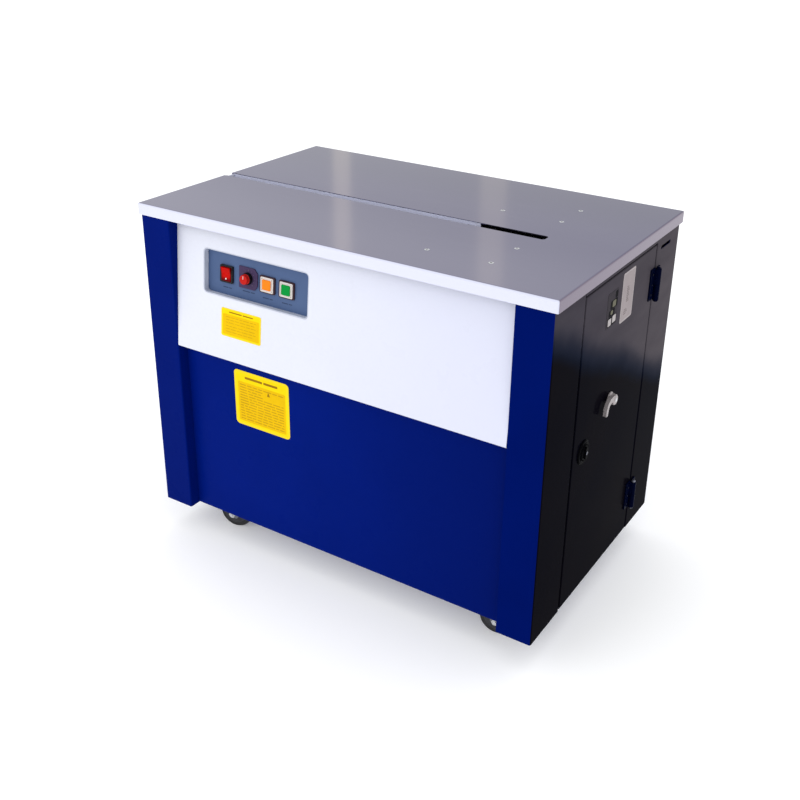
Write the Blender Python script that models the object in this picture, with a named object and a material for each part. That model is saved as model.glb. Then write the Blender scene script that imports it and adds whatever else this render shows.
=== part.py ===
# Semi automatic strapping machine: high-table cabinet on four swivel casters.
# Real size, metres in Blender, +Z up, +X to the right, front towards -Y.
# The origin is on the floor, under the centre of the machine's bounding box.
# Lengths below are in millimetres and are turned into metres when an object is made.

import bpy
import bmesh
import math
from mathutils import Vector, Matrix

for _o in list(bpy.data.objects):
    bpy.data.objects.remove(_o, do_unlink=True)

# ---------------------------------------------------------------- driving dimensions
MM = 0.001
GAP = 0.3                   # clearance kept between touching pieces

TABLE_L = 895.0             # table along X
TABLE_W = 571.0             # table along Y
TABLE_H = 735.0             # table surface above the floor
SKIRT = 22.5                # depth of the turned-down table edge
TOP_T = 2.0                 # table sheet
SHEET = 2.0                 # cabinet sheet

BODY_X = 442.2              # cabinet half width
BODY_Y = 282.7              # cabinet half depth
BODY_Z0 = 68.0              # lower edge of the cabinet skins
POST_IN_X = 371.0           # inner edge of the front corner posts
STILE_Y = 165.3             # inner edge of the posts on the side walls
STILE_RET = 424.0           # how far the stile returns reach inwards

SLOT_Y0, SLOT_Y1 = -35.0, -13.0     # strap slot in the table
SLOT_X1 = 300.0                     # right-hand end of the slot
HEAD_X0 = 160.0                     # the slot is open to the head from here to SLOT_X1

WHITE_Z0 = 450.0            # lower edge of the upper front panel
SLOPE_Z1 = 710.0
SLOPE_Y1 = -258.5           # face of the upper front panel at SLOPE_Z1
LOWER_Y = -258.0            # face of the lower front panel

DOOR_Y0, DOOR_Y1 = -161.2, 161.2
DOOR_Z0, DOOR_Z1 = 69.0, 698.0
DOOR_DEPTH = 18.0
HEADER_Z0 = 701.9
HINGE_X, HINGE_Y = 449.4, 164.0
HINGES = (("upper", 589.0, 652.0, 592.0, 655.0), ("lower", 124.0, 184.0, 127.0, 188.0))
LATCH_Y, LATCH_Z = -118.0, 388.0
LEVER_Y, LEVER_Z = -10.0, 450.0
BOLT_Y0 = -160.0            # front end of the withdrawn bolt
LEVER_OUT = 455.4           # outermost face of the lever, the machine's right-hand extreme

SWIVELS = (("front_left", -336.0, -202.0), ("front_right", 316.0, -204.0),
           ("rear_left", -336.0, 202.0), ("rear_right", 316.0, 204.0))
CASTER_OFF = 22.0           # swivel axis to wheel centre
TRAIL = math.radians(10.0)  # every caster stands trailed to this angle from +X
WHEEL_R, WHEEL_W = 37.5, 24.0

SHAFT_Y, SHAFT_Z = -24.0, 590.0     # camshaft
ROLL_X, ROLL_Z = 350.0, 668.0       # feed roller
FEED_R, PINCH_R = 25.0, 14.0
MOTOR_X, MOTOR_Z = 235.0, 572.0
FEED_PULLEY_R, MOTOR_PULLEY_R = 30.0, 20.0
REEL_Y, REEL_Z = 0.0, 300.0
BRAKE_Y, BRAKE_Z = 175.0, 300.0

# centre of the bounding box along X, so the origin sits under the middle
CX = (LEVER_OUT - TABLE_L / 2) / 2

SLOPE_A = math.atan2(SLOPE_Y1 + BODY_Y, SLOPE_Z1 - WHITE_Z0)
CTRL_Z = 580.0              # height at which the slope frame starts
CTRL_Y = -BODY_Y + (CTRL_Z - WHITE_Z0) * math.tan(SLOPE_A)

# ---------------------------------------------------------------- materials
def material(name, rgb, rough, metal=0.0, alpha=1.0):
    m = bpy.data.materials.new(name)
    m.use_nodes = True
    b = m.node_tree.nodes["Principled BSDF"]
    b.inputs["Base Color"].default_value = (rgb[0], rgb[1], rgb[2], 1.0)
    b.inputs["Roughness"].default_value = rough
    b.inputs["Metallic"].default_value = metal
    b.inputs["Alpha"].default_value = alpha
    m.diffuse_color = (rgb[0], rgb[1], rgb[2], alpha)
    return m


NAVY = material("navy_paint", (0.004, 0.012, 0.165), 0.35)
WHITE = material("white_paint", (0.82, 0.84, 0.92), 0.35)
STEEL = material("stainless_sheet", (0.46, 0.45, 0.50), 0.35, 1.0)
DARK = material("dark_paint", (0.010, 0.010, 0.018), 0.12)
SLATE = material("control_plate", (0.065, 0.12, 0.22), 0.4)
BLACK = material("black_plastic", (0.012, 0.012, 0.014), 0.4)
RED = material("red_plastic", (0.75, 0.01, 0.01), 0.3)
ORANGE = material("orange_lens", (0.95, 0.30, 0.02), 0.3)
GREEN = material("green_lens", (0.0, 0.38, 0.05), 0.3)
PURPLE = material("dial_plate", (0.06, 0.045, 0.10), 0.5)
ZINC = material("zinc_plate", (0.55, 0.56, 0.58), 0.4, 1.0)
CHROME = material("chrome", (0.75, 0.75, 0.77), 0.15, 1.0)
CAST = material("cast_grey", (0.16, 0.18, 0.20), 0.5, 0.3)
TYRE = material("tyre_rubber", (0.01, 0.01, 0.01), 0.7)
RUBBER = material("belt_rubber", (0.015, 0.015, 0.015), 0.8)
ALU = material("aluminium", (0.6, 0.6, 0.62), 0.4, 1.0)

# ---------------------------------------------------------------- frames (empties)
def empty(name, parent=None, loc=(0, 0, 0), rot=(0, 0, 0)):
    e = bpy.data.objects.new(name, None)
    e.location = Vector(loc) * MM
    e.rotation_euler = rot
    bpy.context.scene.collection.objects.link(e)
    e.parent = parent
    return e


DATUM = empty("machine_datum", None, (-CX, 0, 0))
# the slope frame: x along the machine, y into the cabinet, z up the sloping panel
SLOPE = empty("slope_datum", DATUM, (0, CTRL_Y, CTRL_Z), (-SLOPE_A, 0, 0))

# ---------------------------------------------------------------- solids in millimetres
def _mesh(bm):
    bmesh.ops.recalc_face_normals(bm, faces=bm.faces)
    me = bpy.data.meshes.new("tmp")
    bm.to_mesh(me)
    bm.free()
    return me


def prism(axis, pts, h0, h1):
    """Closed prism. pts are (y, z) for axis x, (x, z) for axis y, (x, y) for axis z."""
    bm = bmesh.new()

    def at(p, h):
        return {"x": (h, p[0], p[1]), "y": (p[0], h, p[1]), "z": (p[0], p[1], h)}[axis]
    lo = [bm.verts.new(at(p, h0)) for p in pts]
    hi = [bm.verts.new(at(p, h1)) for p in pts]
    bm.faces.new(lo)
    bm.faces.new(hi)
    n = len(pts)
    for i in range(n):
        j = (i + 1) % n
        bm.faces.new((lo[i], lo[j], hi[j], hi[i]))
    return _mesh(bm)


def box(x0, y0, z0, x1, y1, z1):
    return prism("z", [(x0, y0), (x1, y0), (x1, y1), (x0, y1)], z0, z1)


def circle(c, r, seg, start=0.0):
    return [(c[0] + r * math.cos(start + 2 * math.pi * i / seg),
             c[1] + r * math.sin(start + 2 * math.pi * i / seg)) for i in range(seg)]


def cyl(axis, c, r, h0, h1, seg=24):
    return prism(axis, circle(c, r, seg, math.pi / seg), h0, h1)


def rounded(a0, b0, a1, b1, r, seg=4):
    """Outline of a rectangle with round corners."""
    pts = []
    for cx, cy, s in ((a1 - r, b1 - r, 0), (a0 + r, b1 - r, 1), (a0 + r, b0 + r, 2), (a1 - r, b0 + r, 3)):
        for i in range(seg + 1):
            t = (s + i / seg) * math.pi / 2
            pts.append((cx + r * math.cos(t), cy + r * math.sin(t)))
    return pts


def lathe(axis, c, profile, seg=32):
    """Turned solid or ring. profile is a closed loop of (radius, height along the axis)."""
    bm = bmesh.new()

    def at(r, h, t):
        a, b = c[0] + r * math.cos(t), c[1] + r * math.sin(t)
        return {"x": (h, a, b), "y": (a, h, b), "z": (a, b, h)}[axis]
    rings = []
    for r, h in profile:
        if r < 1e-6:
            rings.append([bm.verts.new(at(0, h, 0))])
        else:
            rings.append([bm.verts.new(at(r, h, 2 * math.pi * i / seg)) for i in range(seg)])
    closed = all(r > 1e-6 for r, h in profile)
    pairs = list(zip(rings, rings[1:])) + ([(rings[-1], rings[0])] if closed else [])
    for a, b in pairs:
        for i in range(seg):
            j = (i + 1) % seg
            if len(a) == 1 and len(b) == 1:
                continue
            if len(a) == 1:
                bm.faces.new((a[0], b[i], b[j]))
            elif len(b) == 1:
                bm.faces.new((a[i], a[j], b[0]))
            else:
                bm.faces.new((a[i], a[j], b[j], b[i]))
    return _mesh(bm)


def strip(path, t):
    """Outline of a bent sheet: the open path offset to its left by the thickness t."""
    n = len(path)
    inner = []
    for i in range(n):
        p = Vector(path[i])
        dirs = []
        if i > 0:
            dirs.append((p - Vector(path[i - 1])).normalized())
        if i < n - 1:
            dirs.append((Vector(path[i + 1]) - p).normalized())
        normals = [Vector((-d.y, d.x)) for d in dirs]
        if len(normals) == 1:
            inner.append(p + normals[0] * t)
        else:
            m = (normals[0] + normals[1]).normalized()
            inner.append(p + m * (t / m.dot(normals[0])))
    return [tuple(p) for p in path] + [tuple(p) for p in reversed(inner)]


def bend(path, r, seg=3):
    """Round the inner points of an open path, as a folded sheet is rounded."""
    out = [path[0]]
    for i in range(1, len(path) - 1):
        p, a, b = Vector(path[i]), Vector(path[i - 1]), Vector(path[i + 1])
        u, v = (a - p).normalized(), (b - p).normalized()
        half = u.angle(v) / 2
        k = r / math.tan(half)
        c = p + (u + v).normalized() * (r / math.sin(half))
        s0, s1 = p + u * k - c, p + v * k - c
        turn = math.atan2(s0.x * s1.y - s0.y * s1.x, s0.dot(s1))
        for j in range(seg + 1):
            t = turn * j / seg
            out.append((c.x + s0.x * math.cos(t) - s0.y * math.sin(t), c.y + s0.x * math.sin(t) + s0.y * math.cos(t)))
    return out + [path[-1]]


def soft_box(x0, y0, z0, x1, y1, z1, r, seg, where):
    """Box whose chosen edges are rounded. where takes the middle of an edge and says yes or no."""
    me = box(x0, y0, z0, x1, y1, z1)
    bm = bmesh.new()
    bm.from_mesh(me)
    bpy.data.meshes.remove(me)
    chosen = [e for e in bm.edges if where((e.verts[0].co + e.verts[1].co) / 2)]
    bmesh.ops.bevel(bm, geom=chosen, offset=r, offset_type="OFFSET", segments=seg, profile=0.5, affect="EDGES")
    return _mesh(bm)


def turned(me, matrix):
    me.transform(matrix)
    return me


def _boolean(a, b, op):
    oa = bpy.data.objects.new("tmp_a", a)
    ob = bpy.data.objects.new("tmp_b", b)
    for o in (oa, ob):
        bpy.context.scene.collection.objects.link(o)
    mod = oa.modifiers.new("b", "BOOLEAN")
    mod.operation = op
    mod.solver = "EXACT"
    mod.object = ob
    dg = bpy.context.evaluated_depsgraph_get()
    dg.update()
    out = bpy.data.meshes.new_from_object(oa.evaluated_get(dg))
    bpy.data.objects.remove(oa, do_unlink=True)
    bpy.data.objects.remove(ob, do_unlink=True)
    bpy.data.meshes.remove(a)
    bpy.data.meshes.remove(b)
    bm = bmesh.new()
    bm.from_mesh(out)
    bmesh.ops.remove_doubles(bm, verts=bm.verts, dist=0.002)
    bmesh.ops.dissolve_limit(bm, angle_limit=0.0005, verts=bm.verts, edges=bm.edges)
    bmesh.ops.recalc_face_normals(bm, faces=bm.faces)
    bm.to_mesh(out)
    bm.free()
    return out


def union(first, *rest):
    for r in rest:
        first = _boolean(first, r, "UNION")
    return first


def cut(first, *rest):
    for r in rest:
        first = _boolean(first, r, "DIFFERENCE")
    return first


def piece(name, me, mat, origin=(0, 0, 0), parent=DATUM, local=False, rot_z=0.0):
    """Make the named object. The mesh is in its parent's millimetres, or about origin when local is set."""
    if not local:
        me.transform(Matrix.Translation(-Vector(origin)))
    me.transform(Matrix.Scale(MM, 4))
    me.name = name
    me.materials.clear()
    me.materials.append(mat)
    o = bpy.data.objects.new(name, me)
    bpy.context.scene.collection.objects.link(o)
    o.location = Vector(origin) * MM
    o.rotation_euler = (0, 0, rot_z)
    o.parent = parent
    me.shade_smooth()
    me.set_sharp_from_angle(angle=math.radians(28))
    return o


def mirror_x(pts):
    return [(-a, b) for a, b in reversed(pts)]


# ---------------------------------------------------------------- cabinet
# corner posts: C-section, front flange, side flange and two returns
post = strip(bend([(POST_IN_X, -257.0), (POST_IN_X, -BODY_Y), (BODY_X, -BODY_Y),
                   (BODY_X, -STILE_Y), (STILE_RET, -STILE_Y)], 3.0), SHEET)
post_rear = [(x, -y) for x, y in reversed(post)]
POST_Z1 = TABLE_H - TOP_T - 0.4
piece("front_right_post", prism("z", post, BODY_Z0, POST_Z1), NAVY)
piece("front_left_post", prism("z", mirror_x(post), BODY_Z0, POST_Z1), NAVY)
piece("rear_left_post", prism("z", mirror_x(post_rear), BODY_Z0, POST_Z1), NAVY)
# the rear right post has the strap inlet slot near its top
piece("rear_right_post",
      cut(prism("z", post_rear, BODY_Z0, POST_Z1),
          prism("x", rounded(185.0, 682.5, 238.0, 690.0, 3.7, 3), 430.0, 455.0)), NAVY)

PANEL_X = POST_IN_X - 0.4
piece("lower_front_panel",
      prism("x", strip(bend([(LOWER_Y, WHITE_Z0 - 1.5), (LOWER_Y, BODY_Z0), (LOWER_Y + 8.0, BODY_Z0)], 3.0), SHEET),
            -PANEL_X, PANEL_X), NAVY)

CTRL_X0, CTRL_X1 = -303.0, -50.0
CTRL_S0, CTRL_S1 = -2.0, 87.5
TRAY_N = 12.0               # depth of the control recess


def in_slope(me):
    """Turn a solid given in the slope frame into machine coordinates."""
    return turned(me, Matrix.Translation(Vector((0, CTRL_Y, CTRL_Z))) @ Matrix.Rotation(-SLOPE_A, 4, "X"))


upper = prism("x", strip(bend([(-238.0, POST_Z1), (SLOPE_Y1, POST_Z1), (SLOPE_Y1, SLOPE_Z1),
                               (-BODY_Y, WHITE_Z0), (-255.5, WHITE_Z0)], 3.0), SHEET), -PANEL_X, PANEL_X)
upper = cut(upper, in_slope(prism("y", rounded(CTRL_X0, CTRL_S0, CTRL_X1, CTRL_S1, 9.0), -8.0, 8.0)))
piece("upper_front_panel", upper, WHITE)

piece("left_side_panel", box(-BODY_X, -165.0, BODY_Z0, -BODY_X + SHEET, 165.0, POST_Z1), NAVY)

rear = box(-PANEL_X, BODY_Y - SHEET, BODY_Z0, PANEL_X, BODY_Y, POST_Z1)
for col in (-230.0, 230.0):
    for row in range(6):
        z = 560.0 + 16.0 * row
        rear = cut(rear, box(col - 55, 270, z, col + 55, 290, z + 6.0))
rear = cut(rear, box(-332.0, 270, 148.0, -280.0, 290, 182.0))
piece("rear_panel", rear, NAVY)

piece("door_header",
      prism("y", strip([(STILE_RET + 0.3, HEADER_Z0), (BODY_X, HEADER_Z0), (BODY_X, POST_Z1)], SHEET),
            -165.0, 165.0), NAVY)

# welded base: a ring of flat bar with a middle bar, widened to the four caster pads
base = box(-422, -254, 97, 422, 254, 103)
base = cut(base, box(-350, -214, 90, -20, 214, 110), box(20, -214, 90, 350, 214, 110))
for _, sx, sy in SWIVELS:
    base = union(base, box(sx - 52, sy - 45, 96.8, sx + 52, sy + 45, 103.2))
piece("base_frame", base, NAVY)

# floor pan: reaches into the corner posts and clears the door and the post returns
b = 103.6
pan = [(-439.3, -279.9), (-373.4, -279.9), (-373.4, -255.6), (373.4, -255.6), (373.4, -279.9), (439.3, -279.9),
       (439.3, -167.7), (423.6, -167.7), (423.6, 167.7), (439.3, 167.7), (439.3, 279.9), (373.4, 279.9),
       (373.4, 255.6), (-373.4, 255.6), (-373.4, 279.9), (-439.3, 279.9), (-439.3, 167.7), (-423.6, 167.7),
       (-423.6, -167.7), (-439.3, -167.7)]
piece("base_plate", prism("z", pan, b, b + 2.0), NAVY)
FLOOR = b + 2.4

# ---------------------------------------------------------------- table
hx, hy = TABLE_L / 2, TABLE_W / 2
zs = TABLE_H - SKIRT
table = soft_box(-hx, -hy, zs, hx, hy, TABLE_H, 3.0, 3,
                 lambda m: m.z > TABLE_H - 1 or (abs(m.x) > hx - 1 and abs(m.y) > hy - 1))
table = cut(table,
            box(-hx + 1.8, -hy + 1.8, zs - 10, hx - 1.8, hy - 1.8, TABLE_H - TOP_T),
            prism("z", [(-460, SLOT_Y0), (SLOT_X1 - 4, SLOT_Y0), (SLOT_X1, SLOT_Y0 + 4), (SLOT_X1, SLOT_Y1 - 4),
                        (SLOT_X1 - 4, SLOT_Y1), (-460, SLOT_Y1)], 690, 750),
            box(-460, SLOT_Y0 - 2.2, 690, -441.0, SLOT_Y1 + 2.2, 750))
# turned-down lips along both sides of the chute
table = union(table,
              box(-439.7, SLOT_Y1 + 0.15, 709.0, HEAD_X0, SLOT_Y1 + 1.95, TABLE_H - 1.0),
              box(-439.7, SLOT_Y0 - 1.95, 709.0, HEAD_X0, SLOT_Y0 - 0.15, TABLE_H - 1.0))
piece("table_top", table, STEEL)

# ---------------------------------------------------------------- control panel, in the slope frame
tray = prism("y", rounded(CTRL_X0 + 0.4, CTRL_S0 + 0.4, CTRL_X1 - 0.4, CTRL_S1 - 0.4, 8.6), 0.2, TRAY_N + 1.6)
tray = union(tray, prism("y", rounded(CTRL_X0 - 8, CTRL_S0 - 8, CTRL_X1 + 8, CTRL_S1 + 8, 9.0), 2.5, 4.1))
tray = cut(tray, prism("y", rounded(CTRL_X0 + 2.0, CTRL_S0 + 2.0, CTRL_X1 - 2.0, CTRL_S1 - 2.0, 7.2), -6.0, TRAY_N))
ROCKER = (-252.6, 42.0)
DIAL = (-200.0, 44.0)
RESET = (-153.5, 41.0)
FEED = (-108.0, 41.0)
tray = cut(tray,
           box(ROCKER[0] - 12, 5, ROCKER[1] - 14, ROCKER[0] + 12, 20, ROCKER[1] + 14),
           cyl("y", DIAL, 5.0, 5, 20, 12),
           box(RESET[0] - 12.6, 5, RESET[1] - 12.6, RESET[0] + 12.6, 20, RESET[1] + 12.6),
           box(FEED[0] - 12.6, 5, FEED[1] - 12.6, FEED[0] + 12.6, 20, FEED[1] + 12.6))
piece("control_tray", tray, SLATE, parent=SLOPE)


def bezel(name, c, half_a, half_s, in_a, in_s, n0, mat, r=3.0):
    m = prism("y", rounded(c[0] - half_a, c[1] - half_s, c[0] + half_a, c[1] + half_s, r, 3), n0, TRAY_N - GAP)
    m = cut(m, box(c[0] - in_a, n0 - 5, c[1] - in_s, c[0] + in_a, TRAY_N + 5, c[1] + in_s))
    return piece(name, m, mat, parent=SLOPE)


bezel("rocker_bezel", ROCKER, 15.5, 17.0, 12.2, 14.4, 7.7, BLACK, 2.0)
bezel("reset_button_bezel", RESET, 18.0, 16.5, 12.6, 12.6, 8.7, BLACK)
bezel("feed_button_bezel", FEED, 18.0, 16.5, 12.6, 12.6, 8.7, BLACK)

# rocker: shallow V face, tipped 7 degrees at rest, pivot along X
ROCK_N = 9.0
prof = [(-13.4, 5.4), (0.0, 7.0), (13.4, 5.4), (13.4, 9.8), (0.0, 12.4), (-13.4, 9.8)]
tilt = math.radians(7.0)
pts = []
for s, n in prof:
    dn, ds = n - ROCK_N, s
    pts.append((ROCK_N + dn * math.cos(tilt) - ds * math.sin(tilt), ROCKER[1] + dn * math.sin(tilt) + ds * math.cos(tilt)))
piece("rocker_switch", prism("x", pts, ROCKER[0] - 11.6, ROCKER[0] + 11.6), RED,
      origin=(ROCKER[0], ROCK_N, ROCKER[1]), parent=SLOPE)

# dial plate with chamfered right corners, and the feed length dial
a, s_ = 22.5, 21.0
octo = [(-a, -s_), (a - 7, -s_), (a, -s_ + 9), (a, s_ - 9), (a - 8, s_), (-a, s_)]
dp = prism("y", [(DIAL[0] + p[0], DIAL[1] + p[1]) for p in octo], 9.6, TRAY_N - GAP)
piece("dial_plate", cut(dp, cyl("y", DIAL, 5.0, 5, 20, 12)), PURPLE, parent=SLOPE)
dial = lathe("y", DIAL, [(0, -5.4), (8.2, -5.4), (9.2, -4.4), (9.2, 1.6), (10.8, 2.2), (11.2, 3.0), (11.2, 9.2),
                         (3.6, 9.2), (3.6, 17.0), (0, 17.0)], 28)
piece("feed_length_dial", dial, BLACK, origin=(DIAL[0], 0, DIAL[1]), parent=SLOPE)


def button(name, c, mat):
    m = prism("y", rounded(c[0] - 11.9, c[1] - 11.9, c[0] + 11.9, c[1] + 11.9, 2.5, 3), 7.4, 14.5)
    m = union(m, prism("y", rounded(c[0] - 9.9, c[1] - 9.9, c[0] + 9.9, c[1] + 9.9, 2.0, 3), 5.8, 7.8))
    return piece(name, m, mat, origin=(c[0], 5.8, c[1]), parent=SLOPE)


button("reset_button", RESET, ORANGE)
button("feed_button", FEED, GREEN)

# ---------------------------------------------------------------- side door and its hardware
door = soft_box(BODY_X - DOOR_DEPTH, DOOR_Y0, DOOR_Z0, BODY_X, DOOR_Y1, DOOR_Z1, 1.6, 2, lambda m: m.x > BODY_X - 1)
door = cut(door,
           box(400, DOOR_Y0 + 1.8, DOOR_Z0 + 1.8, BODY_X - 1.8, DOOR_Y1 - 1.8, DOOR_Z1 - 1.8),
           cyl("x", (LATCH_Y, LATCH_Z), 8.4, 430, 450, 16),
           cyl("x", (LEVER_Y, LEVER_Z), 6.0, 430, 450, 16))
piece("side_door", door, DARK, origin=(HINGE_X, HINGE_Y, 0))

PIN_R, BARREL_R = 2.6, 6.0
for name, z0, z1, l0, l1 in HINGES:
    zm = 0.5 * (z0 + z1)
    # frame half: leaf on the stile, lower knuckle and the pin
    br = union(box(BODY_X + GAP, 170.8, z0, BODY_X + 2.8, 185.0, z1),
               box(BODY_X + 1.1, 163.0, z0 + 0.5, HINGE_X, 172.0, zm - 0.3),
               cyl("z", (HINGE_X, HINGE_Y), BARREL_R, z0, zm, 28),
               cyl("z", (HINGE_X, HINGE_Y), PIN_R, z0 - 1.5, z1 + 1.5, 20))
    piece(name + "_hinge_bracket", br, NAVY, origin=(HINGE_X, HINGE_Y, zm))
    # door half: leaf on the door and the upper knuckle
    kn = union(box(BODY_X + GAP, 139.0, l0, BODY_X + 2.8, 158.0, l1),
               box(BODY_X + 1.1, 155.0, zm + 0.8, HINGE_X, 165.0, z1 - 0.5),
               cyl("z", (HINGE_X, HINGE_Y), BARREL_R, zm + 0.4, z1, 28))
    kn = cut(kn, cyl("z", (HINGE_X, HINGE_Y), PIN_R + 0.4, z0 - 5.0, z1 + 8.0, 20))
    piece(name + "_hinge_knuckle", kn, NAVY, origin=(HINGE_X, HINGE_Y, zm))

piece("latch_rosette",
      lathe("x", (LATCH_Y, LATCH_Z), [(8.8, BODY_X + GAP), (23.5, BODY_X + GAP), (23.5, BODY_X + 1.5), (21.5, BODY_X + 3.2),
                                      (16.6, BODY_X + 3.2), (15.6, BODY_X + 2.0), (8.8, BODY_X + 2.0)], 32),
      BLACK, origin=(BODY_X, LATCH_Y, LATCH_Z))
lk = lathe("x", (LATCH_Y, LATCH_Z), [(0, 418.6), (7.0, 418.6), (7.0, BODY_X + 2.6), (14.6, BODY_X + 2.6), (14.6, BODY_X + 4.2),
                                     (13.6, BODY_X + 5.2), (0, BODY_X + 5.2)], 28)
lk = union(lk,
           prism("x", rounded(LATCH_Y - 4.0, LATCH_Z - 12.0, LATCH_Y + 4.0, LATCH_Z + 12.0, 3.5, 3), BODY_X + 4.8, BODY_X + 8.4),
           prism("x", rounded(LATCH_Y - 10.0, LATCH_Z - 58.0, LATCH_Y + 10.0, LATCH_Z + 10.0, 4.0, 2), 418.9, 421.9))
piece("latch_knob", lk, BLACK, origin=(BODY_X, LATCH_Y, LATCH_Z))

# lever: hub, curved arm, spindle through the door, drive disc with its crank pin behind
arm_line = [(LEVER_Y, LEVER_Z + 2.5), (LEVER_Y - 12.5, LEVER_Z + 6), (LEVER_Y - 23, LEVER_Z + 6), (LEVER_Y - 31, LEVER_Z + 1),
            (LEVER_Y - 35, LEVER_Z - 7), (LEVER_Y - 36.5, LEVER_Z - 19)]
widths = [7.2, 5.6, 5.0, 4.9, 4.8, 3.9]
left, right = [], []
for i, (p, w) in enumerate(zip(arm_line, widths)):
    q0 = Vector(arm_line[max(i - 1, 0)])
    q1 = Vector(arm_line[min(i + 1, len(arm_line) - 1)])
    d = (q1 - q0).normalized()
    nrm = Vector((-d.y, d.x))
    left.append(tuple(Vector(p) + nrm * w))
    right.append(tuple(Vector(p) - nrm * w))
lev = lathe("x", (LEVER_Y, LEVER_Z), [(0, 425.0), (17.0, 425.0), (17.0, 428.0), (4.6, 428.0), (4.6, BODY_X + GAP),
                                      (12.8, BODY_X + GAP), (12.8, BODY_X + 2.2), (11.0, BODY_X + 4.4), (10.2, LEVER_OUT - 1.6),
                                      (8.4, LEVER_OUT), (0, LEVER_OUT)], 28)
lev = union(lev, prism("x", left + right[::-1], LEVER_OUT - 7.6, LEVER_OUT - 0.8),
            cyl("x", (LEVER_Y, LEVER_Z + 13.0), 2.5, 421.6, 426.0, 10))
piece("door_lever", lev, CHROME, origin=(BODY_X, LEVER_Y, LEVER_Z))

bolt = box(414.0, BOLT_Y0, LEVER_Z + 4.0, 420.0, LEVER_Y + 14.0, LEVER_Z + 22.0)
bolt = cut(bolt, prism("y", [(410, LEVER_Z + 2), (424, LEVER_Z + 2), (424, LEVER_Z + 9), (410, LEVER_Z + 9)], -170, -134))
piece("door_bolt", bolt, ZINC, origin=(417, BOLT_Y0, LEVER_Z + 13))
guide = strip([(BODY_X - 2.1, LEVER_Z + 26.5), (411.0, LEVER_Z + 26.5), (411.0, LEVER_Z - 0.5), (BODY_X - 2.1, LEVER_Z - 0.5)], 1.5)
piece("bolt_guide", prism("y", guide, -110.0, -50.0), ZINC)

# ---------------------------------------------------------------- casters
for tag, ax, ay in SWIVELS:
    # drawn in the caster's own frame: swivel axis at 0, wheel trailing along +X
    side = [(-22, 86), (30, 86), (35, 62), (33, 30), (28, 25), (16, 25), (11, 32), (0, 62), (-22, 80)]
    fork = union(box(-22.5, -19.5, 79.5, 30.5, 19.5, 86.0),
                 prism("y", side, -19.0, -15.6),
                 prism("y", side, 15.6, 19.0),
                 lathe("z", (0, 0), [(0, 84.0), (23.0, 84.0), (24.5, 88.0), (24.5, 93.0), (21.0, 96.4), (0, 96.4)], 28),
                 lathe("y", (CASTER_OFF, WHEEL_R), [(0, -24.0), (8.0, -24.0), (8.0, -18.5), (5.0, -18.5), (5.0, 18.5),
                                                    (8.0, 18.5), (8.0, 24.0), (0, 24.0)], 16))
    piece(tag + "_caster_fork", fork, ZINC, origin=(ax, ay, 0), local=True, rot_z=TRAIL)
    w = WHEEL_W / 2
    wheel = lathe("y", (0, 0), [(5.4, -13.5), (10.5, -13.5), (13.5, -w), (34.5, -w), (WHEEL_R, -w + 5),
                                (WHEEL_R, w - 5), (34.5, w), (13.5, w), (10.5, 13.5), (5.4, 13.5)], 32)
    piece(tag + "_caster_wheel", wheel, TYRE, local=True, rot_z=TRAIL,
          origin=(ax + CASTER_OFF * math.cos(TRAIL), ay + CASTER_OFF * math.sin(TRAIL), WHEEL_R))

# ---------------------------------------------------------------- inside: deck and strapping head
DECK = 500.0
deck = box(-421.5, -255.4, DECK + 1, 421.5, 255.4, DECK + 4)
deck = cut(deck, box(-380, -210, 490, -80, 210, 510), box(318, -46, 490, 405, -12, 510))
piece("mechanism_deck", deck, NAVY)
D = DECK + 4.4

head = box(150, -72, D, 392, 32, D + 11)
head = union(head,
             box(150, -70, D + 9, 158, 31, 704),
             box(300, -69, D + 9, 308, 31, 704),
             box(156, 24, D + 9, 302, 30, 703),
             box(156, -45, 660, 302, -38, 690),
             box(156, -10, 660, 302, -4, 690),
             box(306, -8, D + 9, 390, -2, 724))
head = cut(head, box(324, -45, 490, 386, -13, 520),
           cyl("x", (SHAFT_Y, SHAFT_Z), 9.0, 140, 320, 20),
           cyl("y", (ROLL_X, ROLL_Z), 7.2, -20, 5, 16),
           cyl("y", (ROLL_X, ROLL_Z + FEED_R + PINCH_R + 0.8), 5.2, -20, 5, 14))
piece("head_frame", head, CAST)

cam = lathe("x", (SHAFT_Y, SHAFT_Z), [(0, 118.0), (8.0, 118.0), (8.0, 121.0), (36.0, 121.0), (36.0, 147.0), (8.0, 147.0), (8.0, 330.0), (0, 330.0)], 28)
for x0, ang in ((176.0, -90.0), (223.0, -110.0), (270.0, -70.0)):
    t = math.radians(ang)
    cam = union(cam, cyl("x", (SHAFT_Y + 10 * math.cos(t), SHAFT_Z + 10 * math.sin(t)), 22.0, x0, x0 + 14.0, 28))
piece("camshaft", cam, ZINC, origin=(230.0, SHAFT_Y, SHAFT_Z))

SLIDER_Z0, SLIDER_Z1 = 626.0, 698.0
for name, x0 in (("left_gripper", 168.0), ("press_block", 215.0), ("right_gripper", 262.0)):
    m = box(x0, -34, SLIDER_Z0, x0 + 30, -14, SLIDER_Z1)
    if name == "press_block":
        # step for the strap cutter at the right-hand edge of the press
        m = union(m, box(x0 + 24, -33, SLIDER_Z1 - 1, x0 + 29, -15, SLIDER_Z1 + 2.5))
    else:
        for k in range(4):
            cx = x0 + 4 + 7 * k
            m = union(m, prism("y", [(cx - 2.6, SLIDER_Z1 - 0.5), (cx + 2.6, SLIDER_Z1 - 0.5), (cx, SLIDER_Z1 + 2.2)], -33.5, -14.5))
    piece(name, m, ZINC, origin=(x0 + 15, -24, SLIDER_Z0))

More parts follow.
